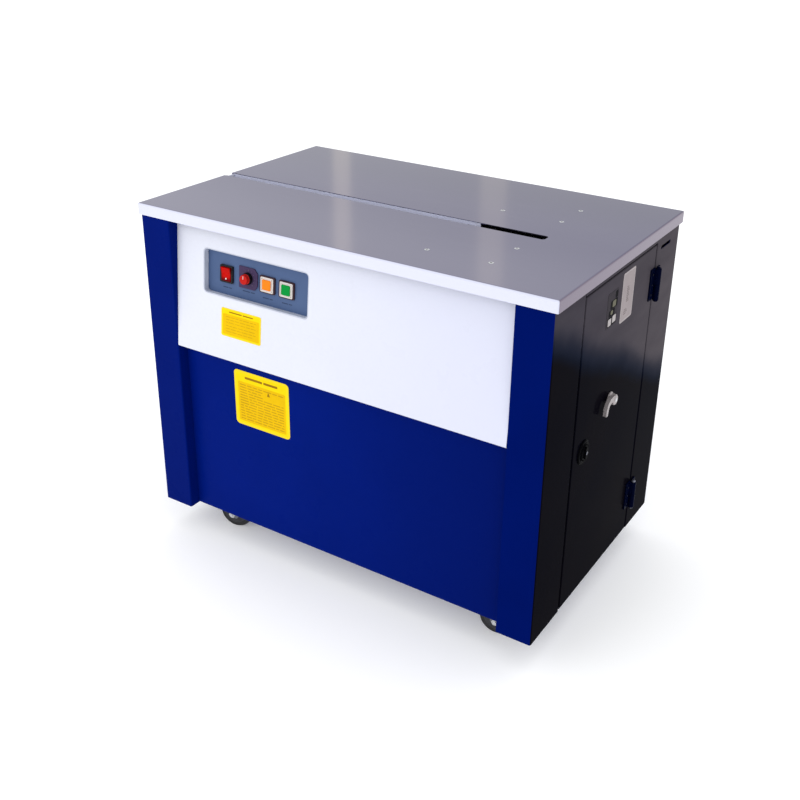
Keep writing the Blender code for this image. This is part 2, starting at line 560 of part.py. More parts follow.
hb = union(box(205, 0, 717.6, 255, 46, 719.6), box(215, 34, 705.0, 245, 47, 718.6))
piece("heater_blade", hb, ZINC, origin=(230, 40, 718))
sp = union(box(163, -33.5, 722.4, 297, 52, 726.4), box(200, 50, 700, 260, 56, 725))
piece("slide_plate", sp, ZINC, origin=(230, 0, 724))

fr = lathe("y", (ROLL_X, ROLL_Z), [(0, -40.0), (6.0, -40.0), (6.0, -36.0), (FEED_R, -36.0), (FEED_R, -12.0), (6.0, -12.0), (6.0, 48.0),
                                   (FEED_PULLEY_R, 48.0), (FEED_PULLEY_R, 64.0), (6.0, 64.0), (6.0, 68.0), (0, 68.0)], 32)
piece("feed_roller", fr, ALU, origin=(ROLL_X, -24, ROLL_Z))
PINCH_Z = ROLL_Z + FEED_R + PINCH_R + 0.8
pr = lathe("y", (ROLL_X, PINCH_Z), [(0, -38.0), (4.0, -38.0), (4.0, -35.5), (PINCH_R, -35.5), (PINCH_R, -12.0), (4.0, -12.0), (4.0, 6.0), (0, 6.0)], 24)
piece("pinch_roller", pr, RUBBER, origin=(ROLL_X, -24, PINCH_Z))

mot = lathe("y", (MOTOR_X, MOTOR_Z), [(0, 74.0), (24.0, 74.0), (26.0, 78.0), (48.0, 80.0), (52.0, 86.0), (52.0, 214.0), (47.0, 228.0), (0, 230.0)], 32)
mot = union(mot, box(MOTOR_X - 44, 96, D, MOTOR_X + 44, 204, D + 8), box(MOTOR_X - 30, 100, D + 7, MOTOR_X + 30, 200, MOTOR_Z - 34),
            box(MOTOR_X - 24, 120, MOTOR_Z + 44, MOTOR_X + 24, 180, MOTOR_Z + 76))
piece("drive_motor", mot, CAST)
piece("motor_pulley",
      lathe("y", (MOTOR_X, MOTOR_Z), [(0, 46.0), (7.0, 46.0), (7.0, 48.0), (MOTOR_PULLEY_R, 48.0), (MOTOR_PULLEY_R, 64.0), (8.0, 64.0),
                                      (8.0, 73.6), (0, 73.6)], 28), ALU, origin=(MOTOR_X, 56, MOTOR_Z))


def belt_loop(c0, r0, c1, r1, seg=20):
    """Outline of a belt round two pulleys: the two arcs and the straight runs between them."""
    dx, dz = c1[0] - c0[0], c1[1] - c0[1]
    d = math.hypot(dx, dz)
    base_a = math.atan2(dz, dx)
    beta = math.acos((r0 - r1) / d)
    out = []
    for i in range(seg + 1):
        t = base_a - beta + 2 * beta * i / seg
        out.append((c1[0] + r1 * math.cos(t), c1[1] + r1 * math.sin(t)))
    for i in range(seg + 1):
        t = base_a + beta + (2 * math.pi - 2 * beta) * i / seg
        out.append((c0[0] + r0 * math.cos(t), c0[1] + r0 * math.sin(t)))
    return out


belt = prism("y", belt_loop((MOTOR_X, MOTOR_Z), MOTOR_PULLEY_R + 3.6, (ROLL_X, ROLL_Z), FEED_PULLEY_R + 3.6), 50.0, 62.0)
belt = cut(belt, prism("y", belt_loop((MOTOR_X, MOTOR_Z), MOTOR_PULLEY_R + 0.6, (ROLL_X, ROLL_Z), FEED_PULLEY_R + 0.6), 40.0, 70.0))
piece("drive_belt", belt, RUBBER)

gr = box(40, -76, D, 117.4, 28, 652)
gr = union(gr, cyl("x", (SHAFT_Y, SHAFT_Z), 30.0, 36.0, 100.0, 24), box(52, -60, 650, 104, 12, 664))
piece("gear_reducer", gr, CAST)

# ---------------------------------------------------------------- inside: strap pool, reel, electrics
pool = box(-340, -40, 170, 168, -8, 480)
pool = cut(pool, box(-338.5, -38.5, 171.5, 166.5, -9.5, 500))
pool = union(pool, box(-320, -39, FLOOR, -290, -9, 171), box(110, -39, FLOOR, 140, -9, 171))
piece("strap_pool", pool, ZINC)

stand = box(186, -80, FLOOR, 190, 195, 350)
stand = union(stand, box(176, -80, FLOOR, 230, 195, FLOOR + 4),
              cyl("x", (REEL_Y, REEL_Z), 11.0, 188, 404, 20),
              cyl("x", (BRAKE_Y, BRAKE_Z), 5.0, 188, 204, 14))
piece("reel_stand", stand, ZINC)
reel = lathe("x", (REEL_Y, REEL_Z), [(11.8, 203.0), (24.0, 203.0), (24.0, 206.0), (150.0, 206.0), (150.0, 209.0), (94.0, 209.0),
                                     (94.0, 380.0), (88.0, 380.0), (88.0, 213.0), (20.0, 213.0), (20.0, 396.0), (11.8, 396.0)], 36)
piece("strap_reel", reel, BLACK, origin=(210, REEL_Y, REEL_Z))
flange = lathe("x", (REEL_Y, REEL_Z), [(20.6, 380.6), (150.0, 380.6), (150.0, 383.6), (30.0, 383.6), (27.0, 402.0),
                                       (11.8, 402.0), (11.8, 396.4), (20.6, 396.4)], 36)
flange = union(flange, box(385.0, -46.0, REEL_Z - 4, 401.0, -22.0, REEL_Z + 4), box(385.0, 22.0, REEL_Z - 4, 401.0, 46.0, REEL_Z + 4))
piece("reel_flange", flange, BLACK, origin=(382, REEL_Y, REEL_Z))

br = union(box(192.6, 168.0, 290.0, 200.4, 182.0, 408.0), box(193.0, 127.0, 390.0, 200.0, 170.0, 407.0),
           box(193.5, 126.0, 388.5, 211.0, 136.0, 408.5))
br = cut(br, cyl("x", (BRAKE_Y, BRAKE_Z), 5.7, 180, 220, 16))
piece("brake_arm", br, ZINC, origin=(196, BRAKE_Y, BRAKE_Z))

ebox = union(box(-439.6, -120, 220, -352, 120, 460), box(-353, -112, 228, -349, 112, 452))
piece("electrical_box", cut(ebox, box(-450, -118, 222, -353.8, 118, 458)), ZINC)
inlet = union(box(-336, BODY_Y + GAP, 144, -276, BODY_Y + 2.2, 186), box(-331, 258, 149, -281, BODY_Y + 1.5, 181))
inlet = cut(inlet, box(-325, 266, 154, -287, 300, 176))
piece("power_inlet", inlet, BLACK)
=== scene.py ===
# Looks of the semi automatic strapping machine: materials, small fittings, light and camera.
import bpy
import bmesh
import math
from mathutils import Vector, Matrix


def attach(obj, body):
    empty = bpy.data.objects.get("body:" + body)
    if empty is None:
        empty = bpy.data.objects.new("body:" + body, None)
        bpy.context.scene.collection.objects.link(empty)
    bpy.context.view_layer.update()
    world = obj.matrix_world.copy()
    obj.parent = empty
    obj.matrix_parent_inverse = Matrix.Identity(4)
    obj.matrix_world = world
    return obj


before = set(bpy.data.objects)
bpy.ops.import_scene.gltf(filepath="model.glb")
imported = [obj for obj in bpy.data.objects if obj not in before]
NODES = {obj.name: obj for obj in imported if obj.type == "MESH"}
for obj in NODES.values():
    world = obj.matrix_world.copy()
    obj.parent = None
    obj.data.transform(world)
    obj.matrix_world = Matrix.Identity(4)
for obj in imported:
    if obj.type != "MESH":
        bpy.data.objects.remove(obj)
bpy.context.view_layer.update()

CX = 3.95                       # machine drawing x of the frame's origin, mm
MM = 0.001
SLOPE_A = math.atan2(24.2, 260.0)
CA, SA = math.cos(SLOPE_A), math.sin(SLOPE_A)
SLOPE_Y = -282.7 + 130.0 * math.tan(SLOPE_A)
SLOPE_M = Matrix.Translation((0, SLOPE_Y, 580.0)) @ Matrix.Rotation(-SLOPE_A, 4, "X")


# ------------------------------------------------------------------ material building blocks
class Mat:
    """A node material on a Principled BSDF, fed from the piece's own coordinates."""

    def __init__(self, name):
        self.m = bpy.data.materials.new(name)
        self.m.use_nodes = True
        self.nt = self.m.node_tree
        self.nt.nodes.clear()
        self.out = self.nt.nodes.new("ShaderNodeOutputMaterial")
        self.b = self.nt.nodes.new("ShaderNodeBsdfPrincipled")
        self.nt.links.new(self.b.outputs["BSDF"], self.out.inputs["Surface"])
        self.tc = self.nt.nodes.new("ShaderNodeTexCoord")

    def put(self, node, key, value):
        sock = node.inputs[key]
        if hasattr(value, "is_output"):
            self.nt.links.new(value, sock)
        elif isinstance(value, (tuple, list)) and len(value) == 3 and len(sock.default_value) == 4:
            sock.default_value = (*value, 1.0)
        else:
            sock.default_value = value

    def set(self, **kw):
        names = {"base": "Base Color", "rough": "Roughness", "metal": "Metallic", "spec": "Specular IOR Level",
                 "coat": "Coat Weight", "coat_rough": "Coat Roughness", "normal": "Normal", "emit": "Emission Color",
                 "emit_str": "Emission Strength", "trans": "Transmission Weight", "sheen": "Sheen Weight",
                 "sub": "Subsurface Weight", "aniso": "Anisotropic", "sub_scale": "Subsurface Scale"}
        for k, v in kw.items():
            self.put(self.b, names[k], v)
        return self

    def coords(self, scale=(1, 1, 1), rot=(0, 0, 0)):
        n = self.nt.nodes.new("ShaderNodeMapping")
        self.nt.links.new(self.tc.outputs["Object"], n.inputs["Vector"])
        n.inputs["Scale"].default_value = scale
        n.inputs["Rotation"].default_value = rot
        return n.outputs["Vector"]

    def noise(self, scale, detail=3.0, vec=None, rough=0.55, distort=0.0):
        n = self.nt.nodes.new("ShaderNodeTexNoise")
        self.nt.links.new(vec if vec is not None else self.tc.outputs["Object"], n.inputs["Vector"])
        n.inputs["Scale"].default_value = scale
        n.inputs["Detail"].default_value = detail
        n.inputs["Roughness"].default_value = rough
        n.inputs["Distortion"].default_value = distort
        return n.outputs["Fac"]

    def wave(self, scale, direction="X", kind="BANDS", vec=None, distort=0.0):
        n = self.nt.nodes.new("ShaderNodeTexWave")
        n.wave_type = kind
        if kind == "BANDS":
            n.bands_direction = direction
        self.nt.links.new(vec if vec is not None else self.tc.outputs["Object"], n.inputs["Vector"])
        n.inputs["Scale"].default_value = scale
        n.inputs["Distortion"].default_value = distort
        return n.outputs["Fac"]

    def voronoi(self, scale, vec=None):
        n = self.nt.nodes.new("ShaderNodeTexVoronoi")
        self.nt.links.new(vec if vec is not None else self.tc.outputs["Object"], n.inputs["Vector"])
        n.inputs["Scale"].default_value = scale
        return n.outputs["Distance"]

    def range(self, fac, a, b, lo=0.0, hi=1.0, smooth=False):
        n = self.nt.nodes.new("ShaderNodeMapRange")
        n.interpolation_type = "SMOOTHSTEP" if smooth else "LINEAR"
        self.nt.links.new(fac, n.inputs["Value"])
        for k, v in (("From Min", a), ("From Max", b), ("To Min", lo), ("To Max", hi)):
            n.inputs[k].default_value = v
        return n.outputs["Result"]

    def mix(self, fac, a, b):
        n = self.nt.nodes.new("ShaderNodeMix")
        n.data_type = "RGBA"
        self.put(n, 0, fac)
        for i, v in ((6, a), (7, b)):
            self.put(n, i, v)
        return n.outputs[2]

    def math(self, op, a, b=None, c=None):
        n = self.nt.nodes.new("ShaderNodeMath")
        n.operation = op
        for i, v in enumerate((a, b, c)):
            if v is not None:
                self.put(n, i, v)
        return n.outputs[0]

    def dot(self, v):
        n = self.nt.nodes.new("ShaderNodeVectorMath")
        n.operation = "DOT_PRODUCT"
        self.nt.links.new(self.tc.outputs["Object"], n.inputs[0])
        n.inputs[1].default_value = v
        return n.outputs["Value"]

    def bump(self, height, strength=0.2, dist=0.0004, normal=None):
        n = self.nt.nodes.new("ShaderNodeBump")
        n.inputs["Strength"].default_value = strength
        n.inputs["Distance"].default_value = dist
        self.nt.links.new(height, n.inputs["Height"])
        if normal is not None:
            self.nt.links.new(normal, n.inputs["Normal"])
        return n.outputs["Normal"]


def shade(c, k):
    return tuple(min(1.0, x * k) for x in c)


def paint(name, rgb, rough=0.3, spec=0.4, vary=0.10, peel=0.10, coat=0.0, painted_falloff=None):
    """Powder coat: faint orange peel, slow tone change, a little dust in the roughness; painted_falloff, if given, is
    painted shade darkening the coat along x.
    """
    m = Mat(name)
    slow = m.noise(5.0, 4.0)
    fine = m.noise(160.0, 3.0)
    col = m.mix(m.range(slow, 0.35, 0.65), shade(rgb, 1 - vary), shade(rgb, 1 + vary))
    col = m.mix(m.range(fine, 0.45, 0.75, 0.0, 0.12), col, shade(rgb, 0.8))
    # painted shade: the coat darkens along x towards the painted_falloff colour, standing in for light falling off
    if painted_falloff:
        col = m.mix(m.range(m.dot((1.0, 0.0, 0.0)), -0.20, 0.37, 0.0, 0.86, True), col, painted_falloff)
    m.set(base=col, rough=m.range(m.noise(14.0, 5.0), 0.3, 0.7, rough * 0.82, rough * 1.22), spec=spec, coat=coat,
          normal=m.bump(m.noise(420.0, 2.0), peel, 0.0003))
    return m


def metal(name, rgb, rough=0.35, grain=(1, 1, 1), strength=0.12, vary=0.12, metallic=1.0, spots=0.0):
    """Metal with a directional grain; grain is the mapping scale, small along the brushing."""
    m = Mat(name)
    v = m.coords(grain)
    g = m.noise(260.0, 4.0, v, 0.7)
    slow = m.noise(7.0, 3.0)
    col = m.mix(m.range(g, 0.3, 0.7), shade(rgb, 1 - vary), shade(rgb, 1 + vary))
    col = m.mix(m.range(slow, 0.3, 0.75, 0.0, 0.25), col, shade(rgb, 0.82))
    if spots:
        col = m.mix(m.range(m.noise(48.0, 6.0, None, 0.7), 0.62, 0.72, 0.0, spots), col, shade(rgb, 0.5))
    m.set(base=col, metal=metallic, rough=m.range(g, 0.25, 0.75, rough * 0.8, rough * 1.25),
          normal=m.bump(g, strength, 0.00015))
    return m


def plastic(name, rgb, rough=0.35, grain=0.08, spec=0.5, vary=0.08, scale=900.0):
    m = Mat(name)
    col = m.mix(m.range(m.noise(30.0, 3.0), 0.35, 0.65), shade(rgb, 1 - vary), shade(rgb, 1 + vary))
    m.set(base=col, rough=m.range(m.noise(60.0, 4.0), 0.3, 0.7, rough * 0.85, rough * 1.2), spec=spec,
          normal=m.bump(m.noise(scale, 2.0), grain, 0.0002))
    return m


# ------------------------------------------------------------------ the materials
NAVY = (0.0003, 0.0076, 0.135)
M = {}
M["navy"] = paint("navy_coat", NAVY, 0.30, 0.010, 0.06, 0.06)
# lower front panel: a lighter copy of the navy as painted light, with painted shade darkening it along x
M["navy_front"] = paint("navy_front_coat", shade(NAVY, 1.20), 0.30, 0.010, 0.05, 0.06, painted_falloff=shade(NAVY, 0.78))
# the left side panel's paint has a pale patch at its top, below the slot's open end, standing for a bare strap guard
left = paint("navy_left_coat", NAVY, 0.30, 0.010, 0.06, 0.06)
coat_tone = left.b.inputs["Base Color"].links[0].from_socket
guard = left.math("LESS_THAN", left.math("ABSOLUTE", left.math("ADD", left.dot((0.0, 1.0, 0.0)), 0.024)), 0.0135)
guard = left.math("MULTIPLY", guard, left.math("GREATER_THAN", left.dot((0.0, 0.0, 1.0)), 0.7075))
left.set(base=left.mix(guard, coat_tone, (0.62, 0.63, 0.72)))
M["navy_left"] = left
# white panel: painted shade darkening it along x
M["white"] = paint("white_coat", (0.705, 0.720, 0.800), 0.30, 0.12, 0.015, 0.05, painted_falloff=(0.645, 0.660, 0.785))

# the side of the machine: gloss, its navy painted near-black as painted shade, with a paler warm painted reflection
# above a slanting soft line


def side_shade_and_reflection(m):
    """Painted shade and painted reflection of the glossy side, from height and depth along the machine."""
    h = m.math("ADD", m.dot((0.0, 0.47, 1.0)), m.range(m.noise(4.0, 3.0), 0.3, 0.7, -0.018, 0.018))
    up = m.range(h, 0.500, 0.560, 0.0, 1.0, True)
    # painted reflection: a teal band along the slanting line
    band = m.math("MULTIPLY", m.range(h, 0.478, 0.520, 0.0, 1.0, True), m.range(h, 0.520, 0.575, 1.0, 0.0, True))
    # painted reflection: the paler warm sheen above the line, mottled
    painted_sheen = m.mix(m.range(m.dot((0.0, 1.0, 0.0)), -0.16, 0.24), (0.058, 0.052, 0.064), (0.084, 0.074, 0.084))
    painted_sheen = m.mix(m.range(m.noise(9.0, 3.0, m.coords((1.0, 0.5, 1.6))), 0.35, 0.7, 0.0, 0.35), painted_sheen, (0.024, 0.020, 0.028))
    # painted shade: the near-black lower part of the navy side
    low = m.mix(m.range(m.noise(5.0, 4.0), 0.35, 0.7), (0.0020, 0.0019, 0.0045), (0.0036, 0.0030, 0.0048))
    col = m.mix(up, low, painted_sheen)
    return m.mix(m.math("MULTIPLY", band, 0.55), col, (0.006, 0.012, 0.030))


side = Mat("side_coat")
tone = side_shade_and_reflection(side)
side.set(base=tone, rough=side.range(side.noise(20.0, 4.0), 0.3, 0.7, 0.10, 0.17), spec=0.0012,
         normal=side.bump(side.noise(300.0, 2.0), 0.03, 0.0003))
M["side"] = side

# posts: navy fronts painted darker as painted shade, with the near-black painted shade and painted reflection of the
# side walls on their side faces
post = Mat("post_coat")
on_side = post.math("GREATER_THAN", post.dot((1.0, 0.0, 0.0)), (440.9 - CX) * MM)
tone = side_shade_and_reflection(post)
# painted shade: darker copies of the navy on the posts' front faces
front = post.mix(post.range(post.noise(5.0, 4.0), 0.35, 0.65), shade(NAVY, 0.71), shade(NAVY, 0.78))
gap_shade_mask = post.math("LESS_THAN", post.math("ABSOLUTE", post.dot((0.0, 1.0, 0.0))), 0.1690)
front = post.mix(gap_shade_mask, front, (0.0006, 0.0008, 0.0060))      # painted shade: the returns seen down the door's gaps are painted near-black
post.set(base=post.mix(on_side, front, tone), rough=post.math("MULTIPLY_ADD", on_side, -0.17, 0.30),
         spec=0.0012,
         normal=post.bump(post.noise(400.0, 2.0), 0.05, 0.0003))
M["post"] = post

# table: stainless sheet, finely brushed along its length; painted light brightens it towards the front and painted
# shade darkens it towards the back, and its folded skirt, right side skirt and slot lips carry painted highlights
table = Mat("brushed_table")
v = table.coords((3.0, 260.0, 260.0))
g = table.noise(6.0, 6.0, v, 0.72)
slow = table.noise(3.2, 3.0)
pale_patch_noise = table.noise(26.0, 5.0, table.coords((0.35, 2.4, 1.0)), 0.6)
ty = table.dot((0.0, 1.0, 0.0))
col = table.mix(table.range(g, 0.3, 0.7), (0.090, 0.082, 0.148), (0.116, 0.106, 0.182))
col = table.mix(table.range(slow, 0.3, 0.7, 0.0, 0.35), col, (0.120, 0.112, 0.186))
# paler patches scattered over the top
col = table.mix(table.range(pale_patch_noise, 0.58, 0.70, 0.0, 0.12), col, (0.17, 0.16, 0.23))
# painted light: brighter towards the front edge
col = table.mix(table.range(ty, 0.02, -0.283, 0.0, 0.60, True), col, (0.225, 0.215, 0.285))
# painted shade: darker towards the back
col = table.mix(table.range(ty, 0.00, 0.26, 0.0, 0.70, True), col, (0.064, 0.059, 0.112))
# painted light: the right side skirt a lighter tone by its facing
col = table.mix(table.range(table.dot((1.0, 0.0, 0.0)), 0.4415, 0.4430, 0.0, 1.0), col, (0.180, 0.146, 0.196))
# painted highlight: the front skirt and the slot lips painted pale, with less metal
skirt = table.range(ty, -0.2832, -0.2846, 0.0, 1.0)
in_slot = table.math("MULTIPLY", table.math("LESS_THAN", table.math("ABSOLUTE", table.math("ADD", ty, 0.024)), 0.0118),
                     table.math("LESS_THAN", table.dot((0.0, 0.0, 1.0)), 0.7338))
in_slot = table.math("MULTIPLY", in_slot, table.math("LESS_THAN", table.dot((1.0, 0.0, 0.0)), (160.0 - CX) * MM))
painted_highlight_mask = table.math("MAXIMUM", skirt, in_slot)
table.set(base=table.mix(painted_highlight_mask, col, (0.66, 0.672, 0.80)), metal=table.range(painted_highlight_mask, 0.0, 1.0, 0.90, 0.25),
          rough=table.range(g, 0.25, 0.75, 0.085, 0.125), spec=0.4, aniso=0.0, normal=table.bump(g, 0.05, 0.00010))
M["table"] = table

# control tray: slate plate at the bottom; its walls, the white panel's returns, painted white-grey as painted shade
tray = Mat("control_plate")
n_in = tray.math("SUBTRACT", tray.dot((0.0, CA, -SA)), SLOPE_Y * MM * CA - 0.580 * SA)      # depth behind the panel face
deep = tray.math("GREATER_THAN", n_in, 0.0116)
plate = tray.mix(tray.range(tray.noise(11.0, 4.0), 0.3, 0.7), (0.066, 0.106, 0.215), (0.078, 0.124, 0.245))
# painted shade: the walls, the white panel's returns, painted grey-lilac
wall = tray.mix(tray.range(tray.noise(30.0, 3.0), 0.3, 0.7), (0.49, 0.52, 0.60), (0.57, 0.60, 0.69))
tray.set(base=tray.mix(deep, wall, plate), rough=tray.range(tray.noise(40.0, 3.0), 0.3, 0.7, 0.34, 0.46), spec=0.10,
         normal=tray.bump(tray.noise(600.0, 2.0), 0.06, 0.0002))
M["tray"] = tray

M["black"] = plastic("black_moulding", (0.009, 0.008, 0.010), 0.34, 0.10, 0.18)
M["bezel"] = plastic("bezel_moulding", (0.045, 0.020, 0.026), 0.42, 0.08, 0.12)
M["cream"] = plastic("cream_moulding", (0.66, 0.61, 0.58), 0.35, 0.05, 0.15, 0.03)
rock = Mat("red_rocker_lens")
up_s = rock.math("SUBTRACT", rock.dot((0.0, SA, CA)), SLOPE_Y * MM * SA + 0.580 * CA)
# painted shade: the lens darker towards its left and right edges
edge = rock.range(rock.math("ABSOLUTE", rock.math("ADD", rock.dot((1.0, 0.0, 0.0)), (252.6 + CX) * MM)), 0.0085, 0.0116, 0.0, 0.75, True)
red = rock.mix(rock.range(rock.noise(60.0, 3.0), 0.3, 0.7), (0.44, 0.0035, 0.0020), (0.54, 0.0060, 0.0028))
# painted shade: the lower part of the rocker, tilted away, painted dark red
red = rock.mix(rock.range(up_s, 0.0375, 0.0300, 0.0, 0.90, True), red, (0.075, 0.0022, 0.0030))
rock.set(base=rock.mix(edge, red, (0.10, 0.0022, 0.0026)), rough=0.16, spec=0.03, normal=rock.bump(rock.noise(500.0, 2.0), 0.02, 0.0002))
M["red"] = rock
M["octagon"] = paint("dial_plate_coat", (0.062, 0.040, 0.098), 0.45, 0.08, 0.10, 0.05)
M["tick"] = plastic("print_light", (0.155, 0.120, 0.185), 0.5, 0.02, 0.05, 0.03)
M["tick_dark"] = plastic("print_dark", (0.034, 0.052, 0.105), 0.5, 0.02, 0.05, 0.03)


def lens(name, rgb):
    """Coloured lens with fine ribs, standing on its cream carrier further in."""
    m = Mat(name)
    ribs = m.wave(230.0, "X")
    col = m.mix(m.range(ribs, 0.2, 0.8), shade(rgb, 0.90), shade(rgb, 1.08))
    col = m.mix(m.range(m.noise(70.0, 2.0), 0.4, 0.7, 0.0, 0.25), col, shade(rgb, 1.15))
    n_in = m.math("SUBTRACT", m.dot((0.0, CA, -SA)), SLOPE_Y * MM * CA - 0.580 * SA)
    col = m.mix(m.math("GREATER_THAN", n_in, 0.00725), col, (0.66, 0.61, 0.58))
    m.set(base=col, rough=0.2, spec=0.03, normal=m.bump(ribs, 0.05, 0.0002))
    return m


M["orange"] = lens("orange_lens_cap", (0.82, 0.225, 0.014))
M["green"] = lens("green_lens_cap", (0.003, 0.270, 0.042))

# dial: black ribbed collar with a red cap in front
dial = Mat("dial_two_tone")
n_in = dial.math("SUBTRACT", dial.dot((0.0, CA, -SA)), SLOPE_Y * MM * CA - 0.580 * SA)
is_cap = dial.math("LESS_THAN", n_in, 0.0019)
red = dial.mix(dial.range(dial.noise(50.0, 3.0), 0.3, 0.7), (0.44, 0.012, 0.009), (0.54, 0.018, 0.013))
blk = dial.mix(dial.range(dial.noise(90.0, 3.0), 0.3, 0.7), (0.006, 0.006, 0.008), (0.014, 0.012, 0.016))
dial.set(base=dial.mix(is_cap, blk, red), rough=dial.range(is_cap, 0.0, 1.0, 0.38, 0.22), spec=0.04,
         normal=dial.bump(dial.noise(700.0, 2.0), 0.06, 0.0002))
M["dial"] = dial

M["sticker"] = plastic("sticker_ground", (0.036, 0.031, 0.038), 0.4, 0.02, 0.01, 0.04)
M["sticker_tan"] = plastic("sticker_tan_ink", (0.135, 0.130, 0.092), 0.45, 0.02, 0.02, 0.06)
M["sticker_ink"] = plastic("sticker_dark_ink", (0.0060, 0.0060, 0.0075), 0.4, 0.02, 0.005, 0.05)
M["pin"] = metal("hinge_pin_steel", (0.17, 0.175, 0.215), 0.36, (1, 1, 1), 0.04, 0.08, 0.9)
M["hinge"] = paint("hinge_coat", (0.0006, 0.0018, 0.013), 0.26, 0.006, 0.10, 0.08)
M["latch"] = plastic("latch_moulding", (0.0022, 0.0022, 0.0030), 0.22, 0.06, 0.004)
lever = Mat("die_cast_lever")
lv = lever.noise(38.0, 5.0, None, 0.65)
col = lever.mix(lever.range(lv, 0.3, 0.7), (0.30, 0.270, 0.268), (0.40, 0.360, 0.362))
col = lever.mix(lever.range(lever.noise(120.0, 4.0), 0.60, 0.72, 0.0, 0.45), col, (0.18, 0.16, 0.16))
lever.set(base=col, metal=0.35, rough=lever.range(lv, 0.3, 0.7, 0.26, 0.42), spec=0.15, normal=lever.bump(lv, 0.12, 0.0003))
M["lever"] = lever

M["zinc"] = metal("zinc_plate_finish", (0.58, 0.59, 0.60), 0.34, (1, 1, 1), 0.10, 0.10, 0.95, 0.25)
M["galv"] = metal("galvanised_sheet", (0.46, 0.48, 0.50), 0.42, (1, 1, 1), 0.08, 0.16, 0.9, 0.15)
M["ground"] = metal("ground_tool_steel", (0.52, 0.52, 0.53), 0.24, (0.08, 1, 1), 0.10, 0.10, 1.0)
M["chrome"] = metal("bright_plate", (0.80, 0.80, 0.82), 0.12, (1, 1, 1), 0.03, 0.05, 1.0)
M["alu"] = metal("turned_aluminium", (0.66, 0.67, 0.69), 0.30, (1, 0.06, 1), 0.12, 0.08, 1.0)
M["cast"] = paint("casting_enamel", (0.075, 0.095, 0.115), 0.45, 0.35, 0.14, 0.35)
M["housing"] = metal("sand_cast_housing", (0.42, 0.43, 0.45), 0.52, (1, 1, 1), 0.35, 0.14, 0.8)
M["brass"] = metal("brass_pins", (0.62, 0.45, 0.18), 0.25, (1, 1, 1), 0.04, 0.06, 1.0)
M["copper"] = metal("winding_copper", (0.55, 0.22, 0.09), 0.35, (1, 0.1, 1), 0.12, 0.10, 0.9)

rub_m = Mat("belt_rubber_finish")
bn = rub_m.noise(220.0, 4.0)
rub_m.set(base=rub_m.mix(rub_m.range(bn, 0.3, 0.7), (0.010, 0.010, 0.011), (0.024, 0.023, 0.024)), rough=0.72, spec=0.3,
          normal=rub_m.bump(bn, 0.25, 0.0003))
M["rubber"] = rub_m

tyre = Mat("caster_tread")
tn = tyre.noise(90.0, 5.0)
dust = tyre.noise(22.0, 5.0, None, 0.7)
col = tyre.mix(tyre.range(tn, 0.3, 0.7), (0.008, 0.008, 0.009), (0.018, 0.018, 0.019))
col = tyre.mix(tyre.range(dust, 0.52, 0.72, 0.0, 0.35), col, (0.075, 0.070, 0.064))
tyre.set(base=col, rough=tyre.range(dust, 0.3, 0.7, 0.45, 0.75), spec=0.35, normal=tyre.bump(tn, 0.22, 0.0004))
M["tyre"] = tyre
M["hub"] = plastic("wheel_hub_nylon", (0.035, 0.035, 0.040), 0.42, 0.10, 0.25, 0.12)
M["fork"] = metal("caster_zinc", (0.20, 0.205, 0.225), 0.40, (1, 1, 1), 0.10, 0.12, 0.9, 0.25)

yellow = Mat("label_yellow")
yn = yellow.noise(40.0, 4.0)
yellow.set(base=yellow.mix(yellow.range(yn, 0.3, 0.7), (0.86, 0.62, 0.004), (0.91, 0.67, 0.006)), rough=0.32, spec=0.02,
           normal=yellow.bump(yn, 0.03, 0.0002))
M["yellow"] = yellow
M["yellow2"] = plastic("label_yellow_dark", (0.76, 0.472, 0.004), 0.35, 0.02, 0.02, 0.03)
M["yellow_rim"] = plastic("label_yellow_rim", (0.85, 0.655, 0.020), 0.32, 0.02, 0.02, 0.02)
M["ink"] = plastic("label_ink", (0.30, 0.155, 0.006), 0.5, 0.02, 0.05, 0.05)
M["ink_soft"] = plastic("label_ink_soft", (0.50, 0.275, 0.006), 0.5, 0.02, 0.05, 0.05)
# painted shade: label_paper and label_white are the door label's white paper and rim painted grey, as white on the
# shaded side
M["paper"] = plastic("label_paper", (0.30, 0.255, 0.26), 0.42, 0.03, 0.08, 0.04)
M["paper_ink"] = plastic("label_grey_ink", (0.13, 0.105, 0.105), 0.5, 0.02, 0.05, 0.05)
M["paper_white"] = plastic("label_white", (0.40, 0.365, 0.365), 0.4, 0.02, 0.08, 0.03)
M["paper_bright"] = plastic("print_white", (0.85, 0.80, 0.78), 0.4, 0.02, 0.1, 0.02)
M["foil"] = metal("plate_foil", (0.62, 0.63, 0.65), 0.3, (1, 0.1, 1), 0.04, 0.06, 0.9)


def give(material, *names):
    for n in names:
        o = NODES[n]
        o.data.materials.clear()
        o.data.materials.append(M[material].m)


give("table", "table_top")
give("white", "upper_front_panel")
give("navy_front", "lower_front_panel")
give("navy_left", "left_side_panel")
give("navy", "rear_panel", "base_frame", "base_plate", "mechanism_deck",
     "rear_left_post", "front_left_post")
give("post", "front_right_post", "rear_right_post")
give("side", "side_door", "door_header")
give("tray", "control_tray")
give("black", "rocker_bezel", "power_inlet", "strap_reel", "reel_flange")
give("bezel", "reset_button_bezel", "feed_button_bezel")
give("octagon", "dial_plate")
give("red", "rocker_switch")
give("dial", "feed_length_dial")
give("orange", "reset_button")
give("green", "feed_button")
give("hinge", "upper_hinge_bracket", "lower_hinge_bracket", "upper_hinge_knuckle", "lower_hinge_knuckle")
give("latch", "latch_rosette", "latch_knob")
give("lever", "door_lever")
give("zinc", "door_bolt", "bolt_guide", "brake_arm", "reel_stand")
give("galv", "strap_pool", "electrical_box")
give("cast", "head_frame", "drive_motor")
give("housing", "gear_reducer")
give("ground", "camshaft", "left_gripper", "press_block", "right_gripper", "heater_blade", "slide_plate")
